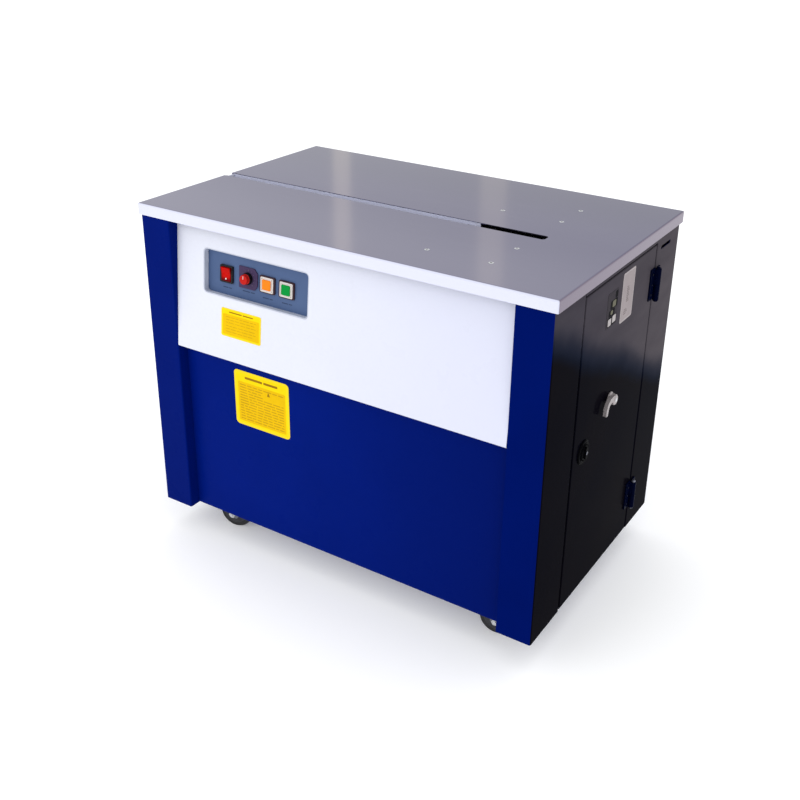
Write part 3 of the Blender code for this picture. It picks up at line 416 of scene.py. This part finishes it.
give("alu", "feed_roller", "motor_pulley")
give("rubber", "drive_belt", "pinch_roller")
for t in ("front_left", "front_right", "rear_left", "rear_right"):
    give("fork", t + "_caster_fork")
    give("tyre", t + "_caster_wheel")


# ------------------------------------------------------------------ solids in drawing millimetres
class Solid:
    """Collects closed shapes in millimetres and becomes one object in the frame."""

    def __init__(self):
        self.bm = bmesh.new()

    def _loops(self, loops, closed_ring=False, cap=True, m=None):
        m = m or Matrix.Identity(4)
        rings = [[self.bm.verts.new(m @ Vector(p)) for p in loop] for loop in loops]
        pairs = list(zip(rings, rings[1:])) + ([(rings[-1], rings[0])] if closed_ring else [])
        for a, b in pairs:
            k = len(a)
            for i in range(k):
                j = (i + 1) % k
                self.bm.faces.new((a[i], a[j], b[j], b[i]))
        if cap and not closed_ring:
            self.bm.faces.new(rings[0][::-1])
            self.bm.faces.new(rings[-1])
        return self

    def prism(self, axis, pts, h0, h1, m=None, chamfer=0.0):
        def at(p, h):
            return {"x": (h, p[0], p[1]), "y": (p[0], h, p[1]), "z": (p[0], p[1], h)}[axis]
        if not chamfer:
            return self._loops([[at(p, h0) for p in pts], [at(p, h1) for p in pts]], m=m)
        cx = sum(p[0] for p in pts) / len(pts)
        cy = sum(p[1] for p in pts) / len(pts)

        def inset(k):
            out = []
            for p in pts:
                d = Vector((p[0] - cx, p[1] - cy))
                out.append((p[0] - d.x / max(d.length, 1e-6) * k, p[1] - d.y / max(d.length, 1e-6) * k))
            return out
        s = 1 if h1 > h0 else -1
        return self._loops([[at(p, h0) for p in pts], [at(p, h1 - s * chamfer) for p in pts],
                            [at(p, h1) for p in inset(chamfer)]], m=m)

    def box(self, x0, y0, z0, x1, y1, z1, m=None):
        return self.prism("z", [(x0, y0), (x1, y0), (x1, y1), (x0, y1)], z0, z1, m)

    def turn(self, axis, c, profile, seg=24, m=None):
        """Turned shape. profile runs (radius, height); radius 0 at both ends caps it, otherwise it is a ring."""
        def at(r, h, t):
            a, b = c[0] + r * math.cos(t), c[1] + r * math.sin(t)
            return {"x": (h, a, b), "y": (a, h, b), "z": (a, b, h)}[axis]
        open_ = [p for p in profile if p[0] > 1e-6]
        ring = len(open_) == len(profile)
        loops = [[at(r, h, 2 * math.pi * i / seg) for i in range(seg)] for r, h in open_]
        return self._loops(loops, closed_ring=ring, m=m)

    def hexhead(self, axis, c, r, h0, h1, m=None):
        pts = [(c[0] + r * math.cos(math.pi / 3 * i), c[1] + r * math.sin(math.pi / 3 * i)) for i in range(6)]
        return self.prism(axis, pts, h0, h1, m, chamfer=min(0.6, abs(h1 - h0) * 0.25))

    def make(self, name, material, body, slot, smooth=32, bevel=0.0):
        bmesh.ops.recalc_face_normals(self.bm, faces=self.bm.faces)
        self.bm.transform(Matrix.Scale(MM, 4) @ Matrix.Translation((-CX, 0, 0)))
        me = bpy.data.meshes.new(name)
        self.bm.to_mesh(me)
        self.bm.free()
        me.materials.append(M[material].m)
        me.shade_smooth()
        me.set_sharp_from_angle(angle=math.radians(smooth))
        o = bpy.data.objects.new(name, me)
        bpy.context.scene.collection.objects.link(o)
        if bevel:
            b = o.modifiers.new("edge", "BEVEL")
            b.width = bevel * MM
            b.segments = 2
            b.limit_method = "ANGLE"
            b.angle_limit = math.radians(40)
        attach(o, body)
        return o


def rounded(a0, b0, a1, b1, r, seg=5):
    pts = []
    for cx, cy, s in ((a1 - r, b1 - r, 0), (a0 + r, b1 - r, 1), (a0 + r, b0 + r, 2), (a1 - r, b0 + r, 3)):
        for i in range(seg + 1):
            t = (s + i / seg) * math.pi / 2
            pts.append((cx + r * math.cos(t), cy + r * math.sin(t)))
    return pts


def frame_ring(s, axis, a0, b0, a1, b1, r, width, h0, h1, m=None, seg=5):
    """Rounded rectangular ring of the given band width."""
    outer = rounded(a0, b0, a1, b1, r, seg)
    inner = rounded(a0 + width, b0 + width, a1 - width, b1 - width, max(r - width, 0.2), seg)

    def at(p, h):
        return {"x": (h, p[0], p[1]), "y": (p[0], h, p[1]), "z": (p[0], p[1], h)}[axis]
    s._loops([[at(p, h0) for p in outer], [at(p, h1) for p in outer], [at(p, h1) for p in inner], [at(p, h0) for p in inner]],
             closed_ring=True, m=m)
    return s


def screw(s, axis, c, r, h0, h1, dark=None, m=None, seg=20, slot_turn=0.6):
    """Pan head with a cross recess: the dome goes to s, the recess bars to dark."""
    d = 1 if h1 > h0 else -1
    t = abs(h1 - h0)
    s.turn(axis, c, [(r, h0), (r, h0 + d * t * 0.35), (r * 0.86, h0 + d * t * 0.75), (r * 0.5, h1), (0.01, h1 + d * 0.01)], seg, m)
    if dark is not None:
        for k in (0, 1):
            a = slot_turn + k * math.pi / 2
            u, v = (math.cos(a), math.sin(a)), (-math.sin(a), math.cos(a))
            L, W = r * 0.55, r * 0.13
            pts = [(c[0] + u[0] * i * L + v[0] * j * W, c[1] + u[1] * i * L + v[1] * j * W)
                   for i, j in ((-1, -1), (1, -1), (1, 1), (-1, 1))]
            dark.prism(axis, pts, h1 - d * 0.2, h1 + d * (0.07 + 0.01 * k), m)
    return s


# ------------------------------------------------------------------ table fittings
heads, cross = Solid(), Solid()
for i, (x, y) in enumerate(((282, -105), (280, -195), (281, 80), (282, 165), (157, -199), (157, 80))):
    screw(heads, "z", (x, y), 4.6, 735.03, 735.75, cross, slot_turn=0.4 + 0.7 * i, seg=24)
heads.make("table_screws", "zinc", "cabinet", "zinc_steel")
cross.make("table_screw_recesses", "black", "cabinet", "black_plastic")

# ------------------------------------------------------------------ control panel
ROCKER, DIAL, RESET, FEED = (-252.6, 42.0), (-200.0, 44.0), (-153.5, 41.0), (-108.0, 41.0)
cream = Solid()
for c in (RESET, FEED):
    frame_ring(cream, "y", c[0] - 14.9, c[1] - 14.4, c[0] + 14.9, c[1] + 14.4, 2.0, 2.4, 8.75, 7.3, SLOPE_M)
cream.make("button_inner_frames", "cream", "cabinet", "white_panel", bevel=0.3)
rim = Solid()
frame_ring(rim, "y", RESET[0] - 9.5, RESET[1] - 9.5, RESET[0] + 9.5, RESET[1] + 9.5, 2.0, 1.0, 6.2, 5.5, SLOPE_M)
rim.make("reset_button_rim", "orange", "reset_key", "orange_lens", bevel=0.25)
rim = Solid()
frame_ring(rim, "y", FEED[0] - 9.5, FEED[1] - 9.5, FEED[0] + 9.5, FEED[1] + 9.5, 2.0, 1.0, 6.2, 5.5, SLOPE_M)
rim.make("feed_button_rim", "green", "feed_key", "green_lens", bevel=0.25)

rm = SLOPE_M @ Matrix.Translation((ROCKER[0], 9.0, ROCKER[1])) @ Matrix.Rotation(math.radians(7.0), 4, "X")
mark = Solid()
mark.prism("y", rounded(-1.3, -10.6, 1.3, -7.4, 1.0, 3), -1.9, -2.3, rm @ Matrix.Rotation(math.radians(-6.8), 4, "X"))
mark.make("rocker_mark", "paper_bright", "rocker", "white_panel")

ticks = Solid()
for k in range(11):
    a = math.radians(-140 + 28 * k + 90)
    big = k % 5 == 0
    c, s_ = math.cos(a), math.sin(a)
    r0, r1, w = 14.0, 17.6 if big else 16.2, 0.45 if big else 0.3
    pts = [(DIAL[0] + c * r0 - s_ * w, DIAL[1] + s_ * r0 + c * w), (DIAL[0] + c * r1 - s_ * w, DIAL[1] + s_ * r1 + c * w),
           (DIAL[0] + c * r1 + s_ * w, DIAL[1] + s_ * r1 - c * w), (DIAL[0] + c * r0 + s_ * w, DIAL[1] + s_ * r0 - c * w)]
    ticks.prism("y", pts, 9.7, 9.45, SLOPE_M)
ticks.make("dial_scale", "tick", "cabinet", "dial_plate")
ptr = Solid()
ptr.box(DIAL[0] - 0.6, -5.65, DIAL[1] + 1.0, DIAL[0] + 0.6, -5.2, DIAL[1] + 7.4, SLOPE_M)
ptr.make("dial_pointer", "cream", "dial", "white_panel")
knurl = Solid()
for k in range(36):
    a = 2 * math.pi * k / 36
    c = (DIAL[0] + 11.15 * math.cos(a), DIAL[1] + 11.15 * math.sin(a))
    knurl.turn("y", c, [(0.45, 3.6), (0.55, 4.2), (0.55, 8.4), (0.45, 8.9)], 6, SLOPE_M)
knurl.make("dial_knurl", "black", "dial", "red_knob")

cap = Solid()
for c, w in ((ROCKER, 11), (DIAL, 15), (RESET, 12), (FEED, 12)):
    cap.prism("y", rounded(c[0] - w, c[1] - 28.2, c[0] + w * 0.2, c[1] - 26.4, 0.6, 2), 12.15, 11.85, SLOPE_M)
    cap.prism("y", rounded(c[0] + w * 0.35, c[1] - 28.2, c[0] + w, c[1] - 26.4, 0.6, 2), 12.15, 11.85, SLOPE_M)
cap.make("control_captions", "tick_dark", "cabinet", "control_plate")


# ------------------------------------------------------------------ labels (ruled lines only)
def label(name, m, w, h, body, plate, rim_mat, panel, ink, soft, rows, sign=None, slot="control_plate", head=True):
    """A printed plate. Its own plane is x across, z up, -y out of the face; m puts it on the machine."""
    s = Solid()
    s.prism("y", rounded(0, 0, w, h, min(w, h) * 0.07), -0.12, -0.45, m)
    s.make(name, plate, body, slot)
    s = Solid()
    frame_ring(s, "y", 0.8, 0.8, w - 0.8, h - 0.8, min(w, h) * 0.065, min(w, h) * 0.035, -0.44, -0.52, m)
    s.make(name + "_border", rim_mat, body, slot)
    s = Solid()
    k = min(w, h) * 0.075
    s.prism("y", rounded(k, k, w - k, h * 0.80 if head else h - k, min(w, h) * 0.03), -0.44, -0.50, m)
    s.make(name + "_field", panel, body, slot)
    s, f = Solid(), Solid()
    if head:
        s.prism("y", rounded(w * 0.20, h * 0.865, w * 0.52, h * 0.905, 0.5, 2), -0.44, -0.56, m)
        s.prism("y", rounded(w * 0.545, h * 0.865, w * 0.80, h * 0.905, 0.5, 2), -0.44, -0.56, m)
    for row, spans in rows:
        for a, b in spans:
            f.prism("y", rounded(w * a, h * row, w * b, h * row + max(0.9, h * 0.016), 0.3, 2), -0.49, -0.57, m)
    if sign:
        cx, cz, r = sign
        s.prism("y", [(w * cx - r, h * cz - r), (w * cx + r, h * cz - r), (w * cx + r * 0.25, h * cz + r * 0.9),
                      (w * cx - r * 0.25, h * cz + r * 1.3)], -0.49, -0.58, m)
    if head or sign:
        s.make(name + "_heading", ink, body, slot)
    else:
        s.bm.free()
    f.make(name + "_lines", soft, body, slot)


def spans(seed, count, a=0.12, b=0.88):
    """Broken strokes of uneven length, so that a row reads as fine print without letters."""
    out, x, k = [], a, seed
    while x < b - 0.02 and len(out) < count:
        k = (k * 73 + 41) % 101
        step = 0.05 + 0.11 * k / 101
        out.append((x, min(x + step, b)))
        x += step + 0.022
    return out


up_m = SLOPE_M @ Matrix.Translation((-257.0, 0.0, (501.0 - 580.0) / CA))
label("control_label", up_m, 98.0, 57.0, "cabinet", "yellow", "yellow_rim", "yellow2", "ink", "ink_soft",
      [(0.70, spans(3, 9)), (0.60, spans(11, 9)), (0.50, spans(5, 6)), (0.38, spans(8, 9)), (0.28, spans(14, 9)), (0.18, spans(2, 5))])
low_m = Matrix.Translation((-248.0, -258.0, 302.5))
rows = [(0.74 - 0.048 * i, spans(7 * i + 3, 9, 0.10, 0.90 if i not in (1, 2, 3) else 0.52)) for i in range(14)]
label("front_label", low_m, 137.0, 121.0, "cabinet", "yellow", "yellow_rim", "yellow2", "ink", "ink_soft", rows, sign=(0.63, 0.70, 3.6))
side_m = Matrix.Translation((442.2, -1.0, 594.0)) @ Matrix.Rotation(math.radians(90), 4, "Z")
label("door_label", side_m, 57.0, 96.0, "door", "paper", "paper_white", "paper", "paper_ink", "paper_ink",
      [(0.14, [(0.27, 0.46)]), (0.18, [(0.27, 0.55)]), (0.22, [(0.30, 0.50)])]
      + [(0.38 + 0.036 * i, [(0.40, 0.60 - 0.03 * (i % 3))]) for i in range(9)],
      slot="gloss_side", head=False)
st_m = Matrix.Translation((442.2, -66.0, 606.0)) @ Matrix.Rotation(math.radians(90), 4, "Z")
sticker = Solid()
sticker.prism("y", rounded(0, 0, 46, 66, 3.0), -0.12, -0.42, st_m)
sticker.make("door_sticker", "sticker", "door", "gloss_side")
sticker = Solid()
for a0, b0, a1, b1 in ((8, 2.5, 22.5, 16), (27.5, 4, 43, 17.5)):
    sticker.prism("y", rounded(a0, b0, a1, b1, 2.0), -0.49, -0.57, st_m)
sticker.make("door_sticker_fields", "paper_white", "door", "gloss_side")
sticker = Solid()
for a0, b0, a1, b1 in ((33, 50, 44.5, 63), (14, 33, 44.5, 49), (9, 20, 35, 32), (5, 1.2, 44.5, 19)):
    sticker.prism("y", rounded(a0, b0, a1, b1, 2.5), -0.41, -0.50, st_m)
sticker.make("door_sticker_blocks", "sticker_ink", "door", "gloss_side")
sticker = Solid()
for a0, b0, a1, b1 in ((23, 35, 38, 47), (17, 22.5, 27, 30)):
    sticker.prism("y", rounded(a0, b0, a1, b1, 2.5), -0.49, -0.57, st_m)
sticker.make("door_sticker_tones", "sticker_tan", "door", "gloss_side")

# ------------------------------------------------------------------ door hardware
for tag, z0, z1, l0, l1 in (("upper", 589.0, 652.0, 592.0, 655.0), ("lower", 124.0, 184.0, 127.0, 188.0)):
    d, dx = Solid(), Solid()
    for z in (l0 + 11, (l0 + l1) / 2, l1 - 11):
        screw(d, "x", (146.5, z), 3.2, 444.95, 446.2, dx, slot_turn=z)
    d.make(tag + "_hinge_door_screws", "hinge", "door", "hinge_dark")
    dx.make(tag + "_hinge_door_recesses", "black", "door", "black_plastic")
    d, dx = Solid(), Solid()
    for z in (z0 + 11, (z0 + z1) / 2, z1 - 11):
        screw(d, "x", (179.0, z), 3.0, 444.95, 446.1, dx, slot_turn=z)
    d.make(tag + "_hinge_frame_screws", "hinge", "cabinet", "hinge_dark")
    dx.make(tag + "_hinge_frame_recesses", "black", "cabinet", "black_plastic")
    pin = Solid()
    for zc, s_ in ((z0 - 1.5, -1), (z1 + 1.5, 1)):
        pin.turn("z", (449.4, 164.0), [(3.6, zc - s_ * 1.2), (4.6, zc - s_ * 0.6), (4.4, zc + s_ * 0.8), (2.4, zc + s_ * 1.8), (0.01, zc + s_ * 2.0)], 20)
    pin.make(tag + "_hinge_pin_ends", "hinge" if tag == "upper" else "pin", "cabinet", "hinge_dark" if tag == "upper" else "zinc_steel")

ring = Solid()
ring.turn("x", (-118.0, 388.0), [(16.2, 445.0), (18.4, 445.2), (18.4, 445.9), (17.4, 446.4), (16.2, 446.0)], 40)
ring.make("latch_ring", "latch", "door", "black_plastic")
grip = Solid()
for k in range(28):
    a = 2 * math.pi * k / 28
    grip.turn("x", (-118.0 + 14.6 * math.cos(a), 388.0 + 14.6 * math.sin(a)), [(0.5, 444.9), (0.7, 445.2), (0.7, 446.2), (0.4, 446.6)], 6)
grip.make("latch_knob_ribs", "latch", "latch", "black_plastic")
key = Solid()
key.turn("x", (-118.0, 388.0), [(3.2, 450.3), (3.2, 451.0), (2.7, 451.3), (0.01, 451.3)], 20)
key.make("latch_lock_face", "pin", "latch", "zinc_steel")
slit = Solid()
slit.box(451.1, -118.5, 385.9, 451.55, -117.5, 390.1)
slit.make("latch_key_slit", "black", "latch", "black_plastic")
boss = Solid()
boss.turn("x", (-10.0, 450.0), [(4.2, 455.0), (4.2, 455.8), (3.6, 456.3), (0.01, 456.4)], 20)
boss.make("lever_screw", "zinc", "lever", "zinc_steel")
rib = Solid()
frame_ring(rib, "x", -154.0, 90.0, 154.0, 686.0, 8.0, 1.6, 440.3, 437.8)
rib.make("door_inner_rib", "side", "door", "gloss_side")

# ------------------------------------------------------------------ casters
T = math.radians(10.0)
for tag, sx, sy in (("front_left", -336.0, -202.0), ("front_right", 316.0, -204.0), ("rear_left", -336.0, 202.0), ("rear_right", 316.0, 204.0)):
    bolts = Solid()
    for dx in (-40, 40):
        for dy in (-33, 33):
            bolts.hexhead("z", (sx + dx, sy + dy), 5.6, 96.7, 92.6)
            bolts.turn("z", (sx + dx, sy + dy), [(7.4, 96.75), (7.4, 95.6), (7.0, 95.3), (0.01, 95.3)], 18)
    bolts.make(tag + "_plate_bolts", "zinc", "cabinet", "zinc_steel")
    cm = Matrix.Translation((sx, sy, 0)) @ Matrix.Rotation(T, 4, "Z")
    nut = Solid()
    for s_ in (-1, 1):
        nut.hexhead("y", (22.0, 37.5), 7.6, s_ * 23.9, s_ * 27.6, cm)
        nut.turn("y", (22.0, 37.5), [(3.0, s_ * 27.4), (3.0, s_ * 29.4), (2.4, s_ * 29.9), (0.01, s_ * 29.9)], 14, cm)
    nut.make(tag + "_axle_nuts", "zinc", tag + "_swivel", "zinc_steel")
    kp = Solid()
    kp.turn("z", (0, 0), [(8.5, 79.4), (8.5, 77.9), (7.0, 76.9), (0.01, 76.6)], 20, cm)
    kp.make(tag + "_kingpin", "zinc", tag + "_swivel", "zinc_steel")
    hub = Solid()
    for s_ in (-1, 1):
        hub.turn("y", (22.0, 37.5), [(14.4, s_ * 11.95), (26.6, s_ * 11.95), (26.4, s_ * 12.8), (25.0, s_ * 13.1),
                                     (23.8, s_ * 12.35), (17.2, s_ * 12.35), (16.0, s_ * 13.0), (14.4, s_ * 12.8)], 32, cm)
        for k in range(6):
            a = math.pi / 3 * k
            wm = cm @ Matrix.Translation((22.0, 0, 37.5)) @ Matrix.Rotation(a, 4, "Y")
            hub.box(15.6, s_ * 12.0, -1.3, 24.6, s_ * 12.95, 1.3, wm)
    hub.make(tag + "_wheel_hub", "hub", tag + "_wheel", "black_plastic")

# ------------------------------------------------------------------ cabinet fastenings, back and sides
rv, rvx = Solid(), Solid()
for x in (-350.0, -117.0, 117.0, 350.0):
    for z in (86.0, 706.0):
        screw(rv, "y", (x, z), 4.2, 282.65, 284.6, rvx, slot_turn=x)
for z in (240.0, 400.0, 560.0):
    for x in (-358.0, 358.0):
        screw(rv, "y", (x, z), 4.2, 282.65, 284.6, rvx, slot_turn=z)
rv.make("rear_panel_screws", "zinc", "cabinet", "zinc_steel")
rvx.make("rear_panel_recesses", "black", "cabinet", "black_plastic")
rv, rvx = Solid(), Solid()
for y in (-150.0, 150.0):
    for z in (90.0, 250.0, 400.0, 550.0, 695.0):
        screw(rv, "x", (y, z), 4.0, -442.15, -444.0, rvx, slot_turn=z * 0.3 + y)
rv.make("left_panel_screws", "zinc", "cabinet", "zinc_steel")
rvx.make("left_panel_recesses", "black", "cabinet", "black_plastic")

lou = Solid()
for col in (-230.0, 230.0):
    for row in range(6):
        z = 560.0 + 16.0 * row
        prof = [(282.5, z + 7.6), (284.0, z + 7.0), (286.4, z + 3.4), (286.9, z + 0.6), (286.2, z + 0.6), (285.6, z + 3.0), (283.6, z + 5.9), (282.5, z + 6.4)]
        lou.prism("x", prof, col - 57.0, col + 57.0)
        for e in (-57.0, 55.8):
            lou.prism("x", [(282.5, z + 7.4), (284.0, z + 6.8), (286.6, z + 0.7), (282.5, z + 0.7)], col + e, col + e + 1.2)
lou.make("rear_louvre_hoods", "navy", "cabinet", "navy_body", smooth=40)

pins = Solid()
for x, z in ((-306.0, 170.0), (-314.0, 161.0), (-298.0, 161.0)):
    pins.box(x - 2.1, 264.0, z - 3.2, x + 2.1, 280.5, z + 3.2)
pins.make("inlet_pins", "brass", "cabinet", "zinc_steel", bevel=0.4)
isc, isx = Solid(), Solid()
for x in (-333.0 + 0.6, -279.6):
    screw(isc, "y", (x, 165.0), 2.4, 284.85, 286.2, isx, slot_turn=x)
isc.make("inlet_screws", "zinc", "cabinet", "zinc_steel")
isx.make("inlet_screw_recesses", "black", "cabinet", "black_plastic")
rear_m = Matrix.Translation((-276.0, 282.7, 200.0)) @ Matrix.Rotation(math.pi, 4, "Z")
label("rating_plate", rear_m, 60.0, 40.0, "cabinet", "foil", "tick_dark", "foil", "tick_dark", "tick_dark",
      [(0.62, spans(4, 5)), (0.48, spans(9, 6)), (0.34, spans(6, 4)), (0.20, spans(12, 6))], slot="zinc_steel")

# ------------------------------------------------------------------ inside: head, drive, reel and electrics
fins = Solid()
for k in range(9):
    y = 104.0 + 12.0 * k
    fins.turn("y", (235.0, 572.0), [(51.4, y), (56.5, y + 0.6), (56.5, y + 2.0), (51.4, y + 2.6)], 40)
fins.make("motor_fins", "cast", "cabinet", "cast_frame")
fan = Solid()
fan.turn("y", (235.0, 572.0), [(46.0, 229.4), (49.5, 227.0), (50.5, 231.0), (48.5, 236.0), (44.0, 238.0), (12.0, 238.4), (12.0, 237.0), (44.0, 236.6)], 36)
fan.make("motor_fan_cover", "black", "cabinet", "black_plastic")
tb, tbx = Solid(), Solid()
for x in (216.0, 254.0):
    for y in (126.0, 174.0):
        screw(tb, "z", (x, y), 2.6, 647.95, 649.6, tbx, slot_turn=x + y)
for x, z in ((196.0, 512.2), (274.0, 512.2)):
    for y in (106.0, 194.0):
        tb.hexhead("z", (x, y), 5.0, z, z + 4.2)
tb.make("motor_screws", "zinc", "cabinet", "zinc_steel")
tbx.make("motor_screw_recesses", "black", "cabinet", "black_plastic")

rd = Solid()
for z in (518.0, 560.0, 600.0, 640.0):
    for y in (-68.0, 20.0):
        rd.hexhead("x", (y, z), 4.4, 39.9, 36.4)
rd.turn("z", (78.0, -24.0), [(7.0, 663.9), (7.0, 669.0), (5.5, 670.4), (0.01, 670.4)], 18)
rd.make("reducer_bolts", "zinc", "cabinet", "zinc_steel")
ribs = Solid()
for z in (524.0, 544.0, 620.0, 636.0):
    frame_ring(ribs, "z", 38.6, -77.4, 118.6 - 0.3, 29.4, 3.0, 3.0, z, z + 3.2)
ribs.make("reducer_ribs", "housing", "cabinet", "cast_housing")

hb = Solid()
for y in (-62.0, 10.0):
    for z in (530.0, 640.0):
        hb.hexhead("x", (y, z), 4.2, 149.9, 146.4)
for x in (166.0, 228.0, 290.0):
    hb.hexhead("y", (x, 540.0), 4.2, 30.0, 33.4)
hb.make("head_bolts", "zinc", "cabinet", "zinc_steel")
race = Solid()
for x0, x1 in ((147.4, 150.6), (307.4, 310.6)):
    race.turn("x", (-24.0, 590.0), [(9.2, x0), (17.5, x0), (17.5, x1), (9.2, x1)], 32)
race.make("camshaft_bearings", "chrome", "cabinet", "machined_steel")
teeth = Solid()
for k in range(40):
    a = 2 * math.pi * k / 40
    c, s_ = math.cos(a), math.sin(a)
    pts = [(-24.0 + c * 35.6 - s_ * 1.5, 590.0 + s_ * 35.6 + c * 1.5), (-24.0 + c * 37.6 - s_ * 0.8, 590.0 + s_ * 37.6 + c * 0.8),
           (-24.0 + c * 37.6 + s_ * 0.8, 590.0 + s_ * 37.6 - c * 0.8), (-24.0 + c * 35.6 + s_ * 1.5, 590.0 + s_ * 35.6 - c * 1.5)]
    teeth.prism("x", pts, 123.0, 145.0)
teeth.make("clutch_drum_teeth", "ground", "camshaft", "machined_steel")
kn = Solid()
for k in range(48):
    a = 2 * math.pi * k / 48
    c, s_ = math.cos(a), math.sin(a)
    pts = [(350.0 + c * 24.8 - s_ * 0.8, 668.0 + s_ * 24.8 + c * 0.8), (350.0 + c * 25.4, 668.0 + s_ * 25.4), (350.0 + c * 24.8 + s_ * 0.8, 668.0 + s_ * 24.8 - c * 0.8)]
    kn.prism("y", pts, -35.6, -12.4)
kn.make("feed_roller_knurl", "ground", "feed_drive", "machined_steel")
for nm, cx_, cz_, r, body in (("feed_pulley_flanges", 350.0, 668.0, 30.0, "feed_drive"), ("motor_pulley_flanges", 235.0, 572.0, 20.0, "motor_shaft")):
    f = Solid()
    for y in (46.6, 63.9):
        f.turn("y", (cx_, cz_), [(r * 0.5, y), (r + 3.6, y), (r + 3.6, y + 1.5), (r * 0.5, y + 1.5)], 40)
    f.make(nm, "alu", body, "roller_aluminium")

spokes = Solid()
for side_x, body_x in ((206.0, 204.6), (383.5, 385.0)):
    for k in range(8):
        a = math.pi / 4 * k
        m = Matrix.Translation((0, 0.0, 300.0)) @ Matrix.Rotation(a, 4, "X")
        spokes.box(min(side_x, body_x), 34.0, -2.4, max(side_x, body_x), 143.0, 2.4, m)
    spokes.turn("x", (0.0, 300.0), [(144.0, min(side_x, body_x)), (150.0, min(side_x, body_x)), (150.0, max(side_x, body_x)), (144.0, max(side_x, body_x))], 64)
spokes.make("reel_ribs", "black", "reel", "black_plastic", smooth=40)
lin = Solid()
lin.prism("x", [(126.4, 388.9), (126.4, 408.2), (124.9, 408.2), (124.9, 388.9)], 194.0, 210.6)
lin.make("brake_lining", "rubber", "brake", "belt_rubber")
bn_ = Solid()
bn_.hexhead("x", (175.0, 300.0), 7.4, 203.6, 207.4)
bn_.turn("x", (175.0, 300.0), [(10.0, 202.4), (10.0, 203.8), (0.01, 203.8)], 22)
bn_.make("brake_pivot_nut", "zinc", "cabinet", "zinc_steel")

eb, ebx = Solid(), Solid()
for y in (-104.0, 104.0):
    for z in (236.0, 444.0):
        screw(eb, "x", (y, z), 4.0, -349.05, -347.0, ebx, slot_turn=y + z)
eb.make("electrical_box_screws", "zinc", "cabinet", "zinc_steel")
ebx.make("electrical_box_recesses", "black", "cabinet", "black_plastic")
gl = Solid()
for y in (-70.0, -30.0, 30.0):
    gl.hexhead("z", (-396.0, y), 9.5, 459.9, 465.0)
    gl.turn("z", (-396.0, y), [(7.4, 464.6), (7.4, 471.0), (6.2, 474.5), (4.2, 475.5), (0.01, 475.5)], 22)
gl.make("cable_glands", "black", "cabinet", "black_plastic")
eb_m = Matrix.Translation((-349.0, -40.0, 310.0)) @ Matrix.Rotation(math.radians(90), 4, "Z")
label("box_plate", eb_m, 80.0, 60.0, "cabinet", "yellow", "ink", "yellow2", "ink", "ink_soft",
      [(0.60, spans(4, 5)), (0.46, spans(9, 6)), (0.32, spans(6, 4)), (0.18, spans(12, 6))], slot="control_plate")

# ------------------------------------------------------------------ floor, light and camera
bm = bmesh.new()
bmesh.ops.create_grid(bm, x_segments=8, y_segments=8, size=14.0)
fm = bpy.data.meshes.new("studio_floor")
bm.to_mesh(fm)
bm.free()
floor = bpy.data.objects.new("studio_floor", fm)
bpy.context.scene.collection.objects.link(floor)
floor_mat = Mat("floor_pale")
fn = floor_mat.noise(1.5, 2.0)
floor_mat.set(base=floor_mat.mix(floor_mat.range(fn, 0.3, 0.7), (0.885, 0.887, 0.89), (0.90, 0.90, 0.905)), rough=0.85, spec=0.05,
              emit=(1.0, 1.0, 1.0), emit_str=0.22)
fm.materials.append(floor_mat.m)

world = bpy.data.worlds.new("studio")
bpy.context.scene.world = world
world.use_nodes = True
wt = world.node_tree
bg = wt.nodes["Background"] if "Background" in wt.nodes else wt.nodes.new("ShaderNodeBackground")
bg.inputs["Color"].default_value = (0.97, 0.98, 1.0, 1.0)
bg.inputs["Strength"].default_value = 1.06


def area(name, loc, target, size, power, colour=(1, 1, 1)):
    l = bpy.data.lights.new(name, "AREA")
    l.shape = "RECTANGLE"
    l.size, l.size_y = size
    l.energy = power
    l.color = colour
    o = bpy.data.objects.new(name, l)
    o.location = loc
    o.rotation_mode = "QUATERNION"
    o.rotation_quaternion = (Vector(target) - Vector(loc)).to_track_quat("-Z", "Y")
    bpy.context.scene.collection.objects.link(o)
    return o


area("key_softbox", (-1.6, -3.4, 2.7), (0.0, -0.2, 0.4), (2.6, 2.0), 34)
area("top_softbox", (0.3, 0.5, 3.6), (0.0, 0.0, 0.4), (3.4, 3.0), 14)
# tall narrow cards far behind, which draw soft streaks on the sheet metal
for nm, x, y, w, p in (("card_left", -2.53, 3.25, 0.10, 0.16), ("card_right", -1.66, 3.52, 0.15, 0.15)):
    card = area(nm, (x, y, 2.05), (0.1 * x, 0.1 * y, 2.05), (w, 1.3), p, (1.0, 0.86, 0.55))
    card.visible_camera = False

cam_data = bpy.data.cameras.new("camera")
cam = bpy.data.objects.new("camera", cam_data)
bpy.context.scene.collection.objects.link(cam)
cam_data.sensor_width = 36.0
cam_data.lens = 47.355
cam_data.shift_x = -0.0178
cam_data.shift_y = -0.0709
right = Vector((0.84596423, 0.53296071, 0.01724523))
down = Vector((0.23194264, -0.33865478, -0.91187475))
ahead = Vector((-0.48015323, 0.77541333, -0.41010614))
rot = Matrix((right, -down, -ahead)).transposed()
cam.matrix_world = Matrix.Translation(((1044.784 - CX) * MM, -1.668642, 1.329894)) @ rot.to_4x4()
cam_data.clip_start, cam_data.clip_end = 0.05, 100.0
bpy.context.scene.camera = cam
bpy.context.scene.view_settings.view_transform = "Standard"
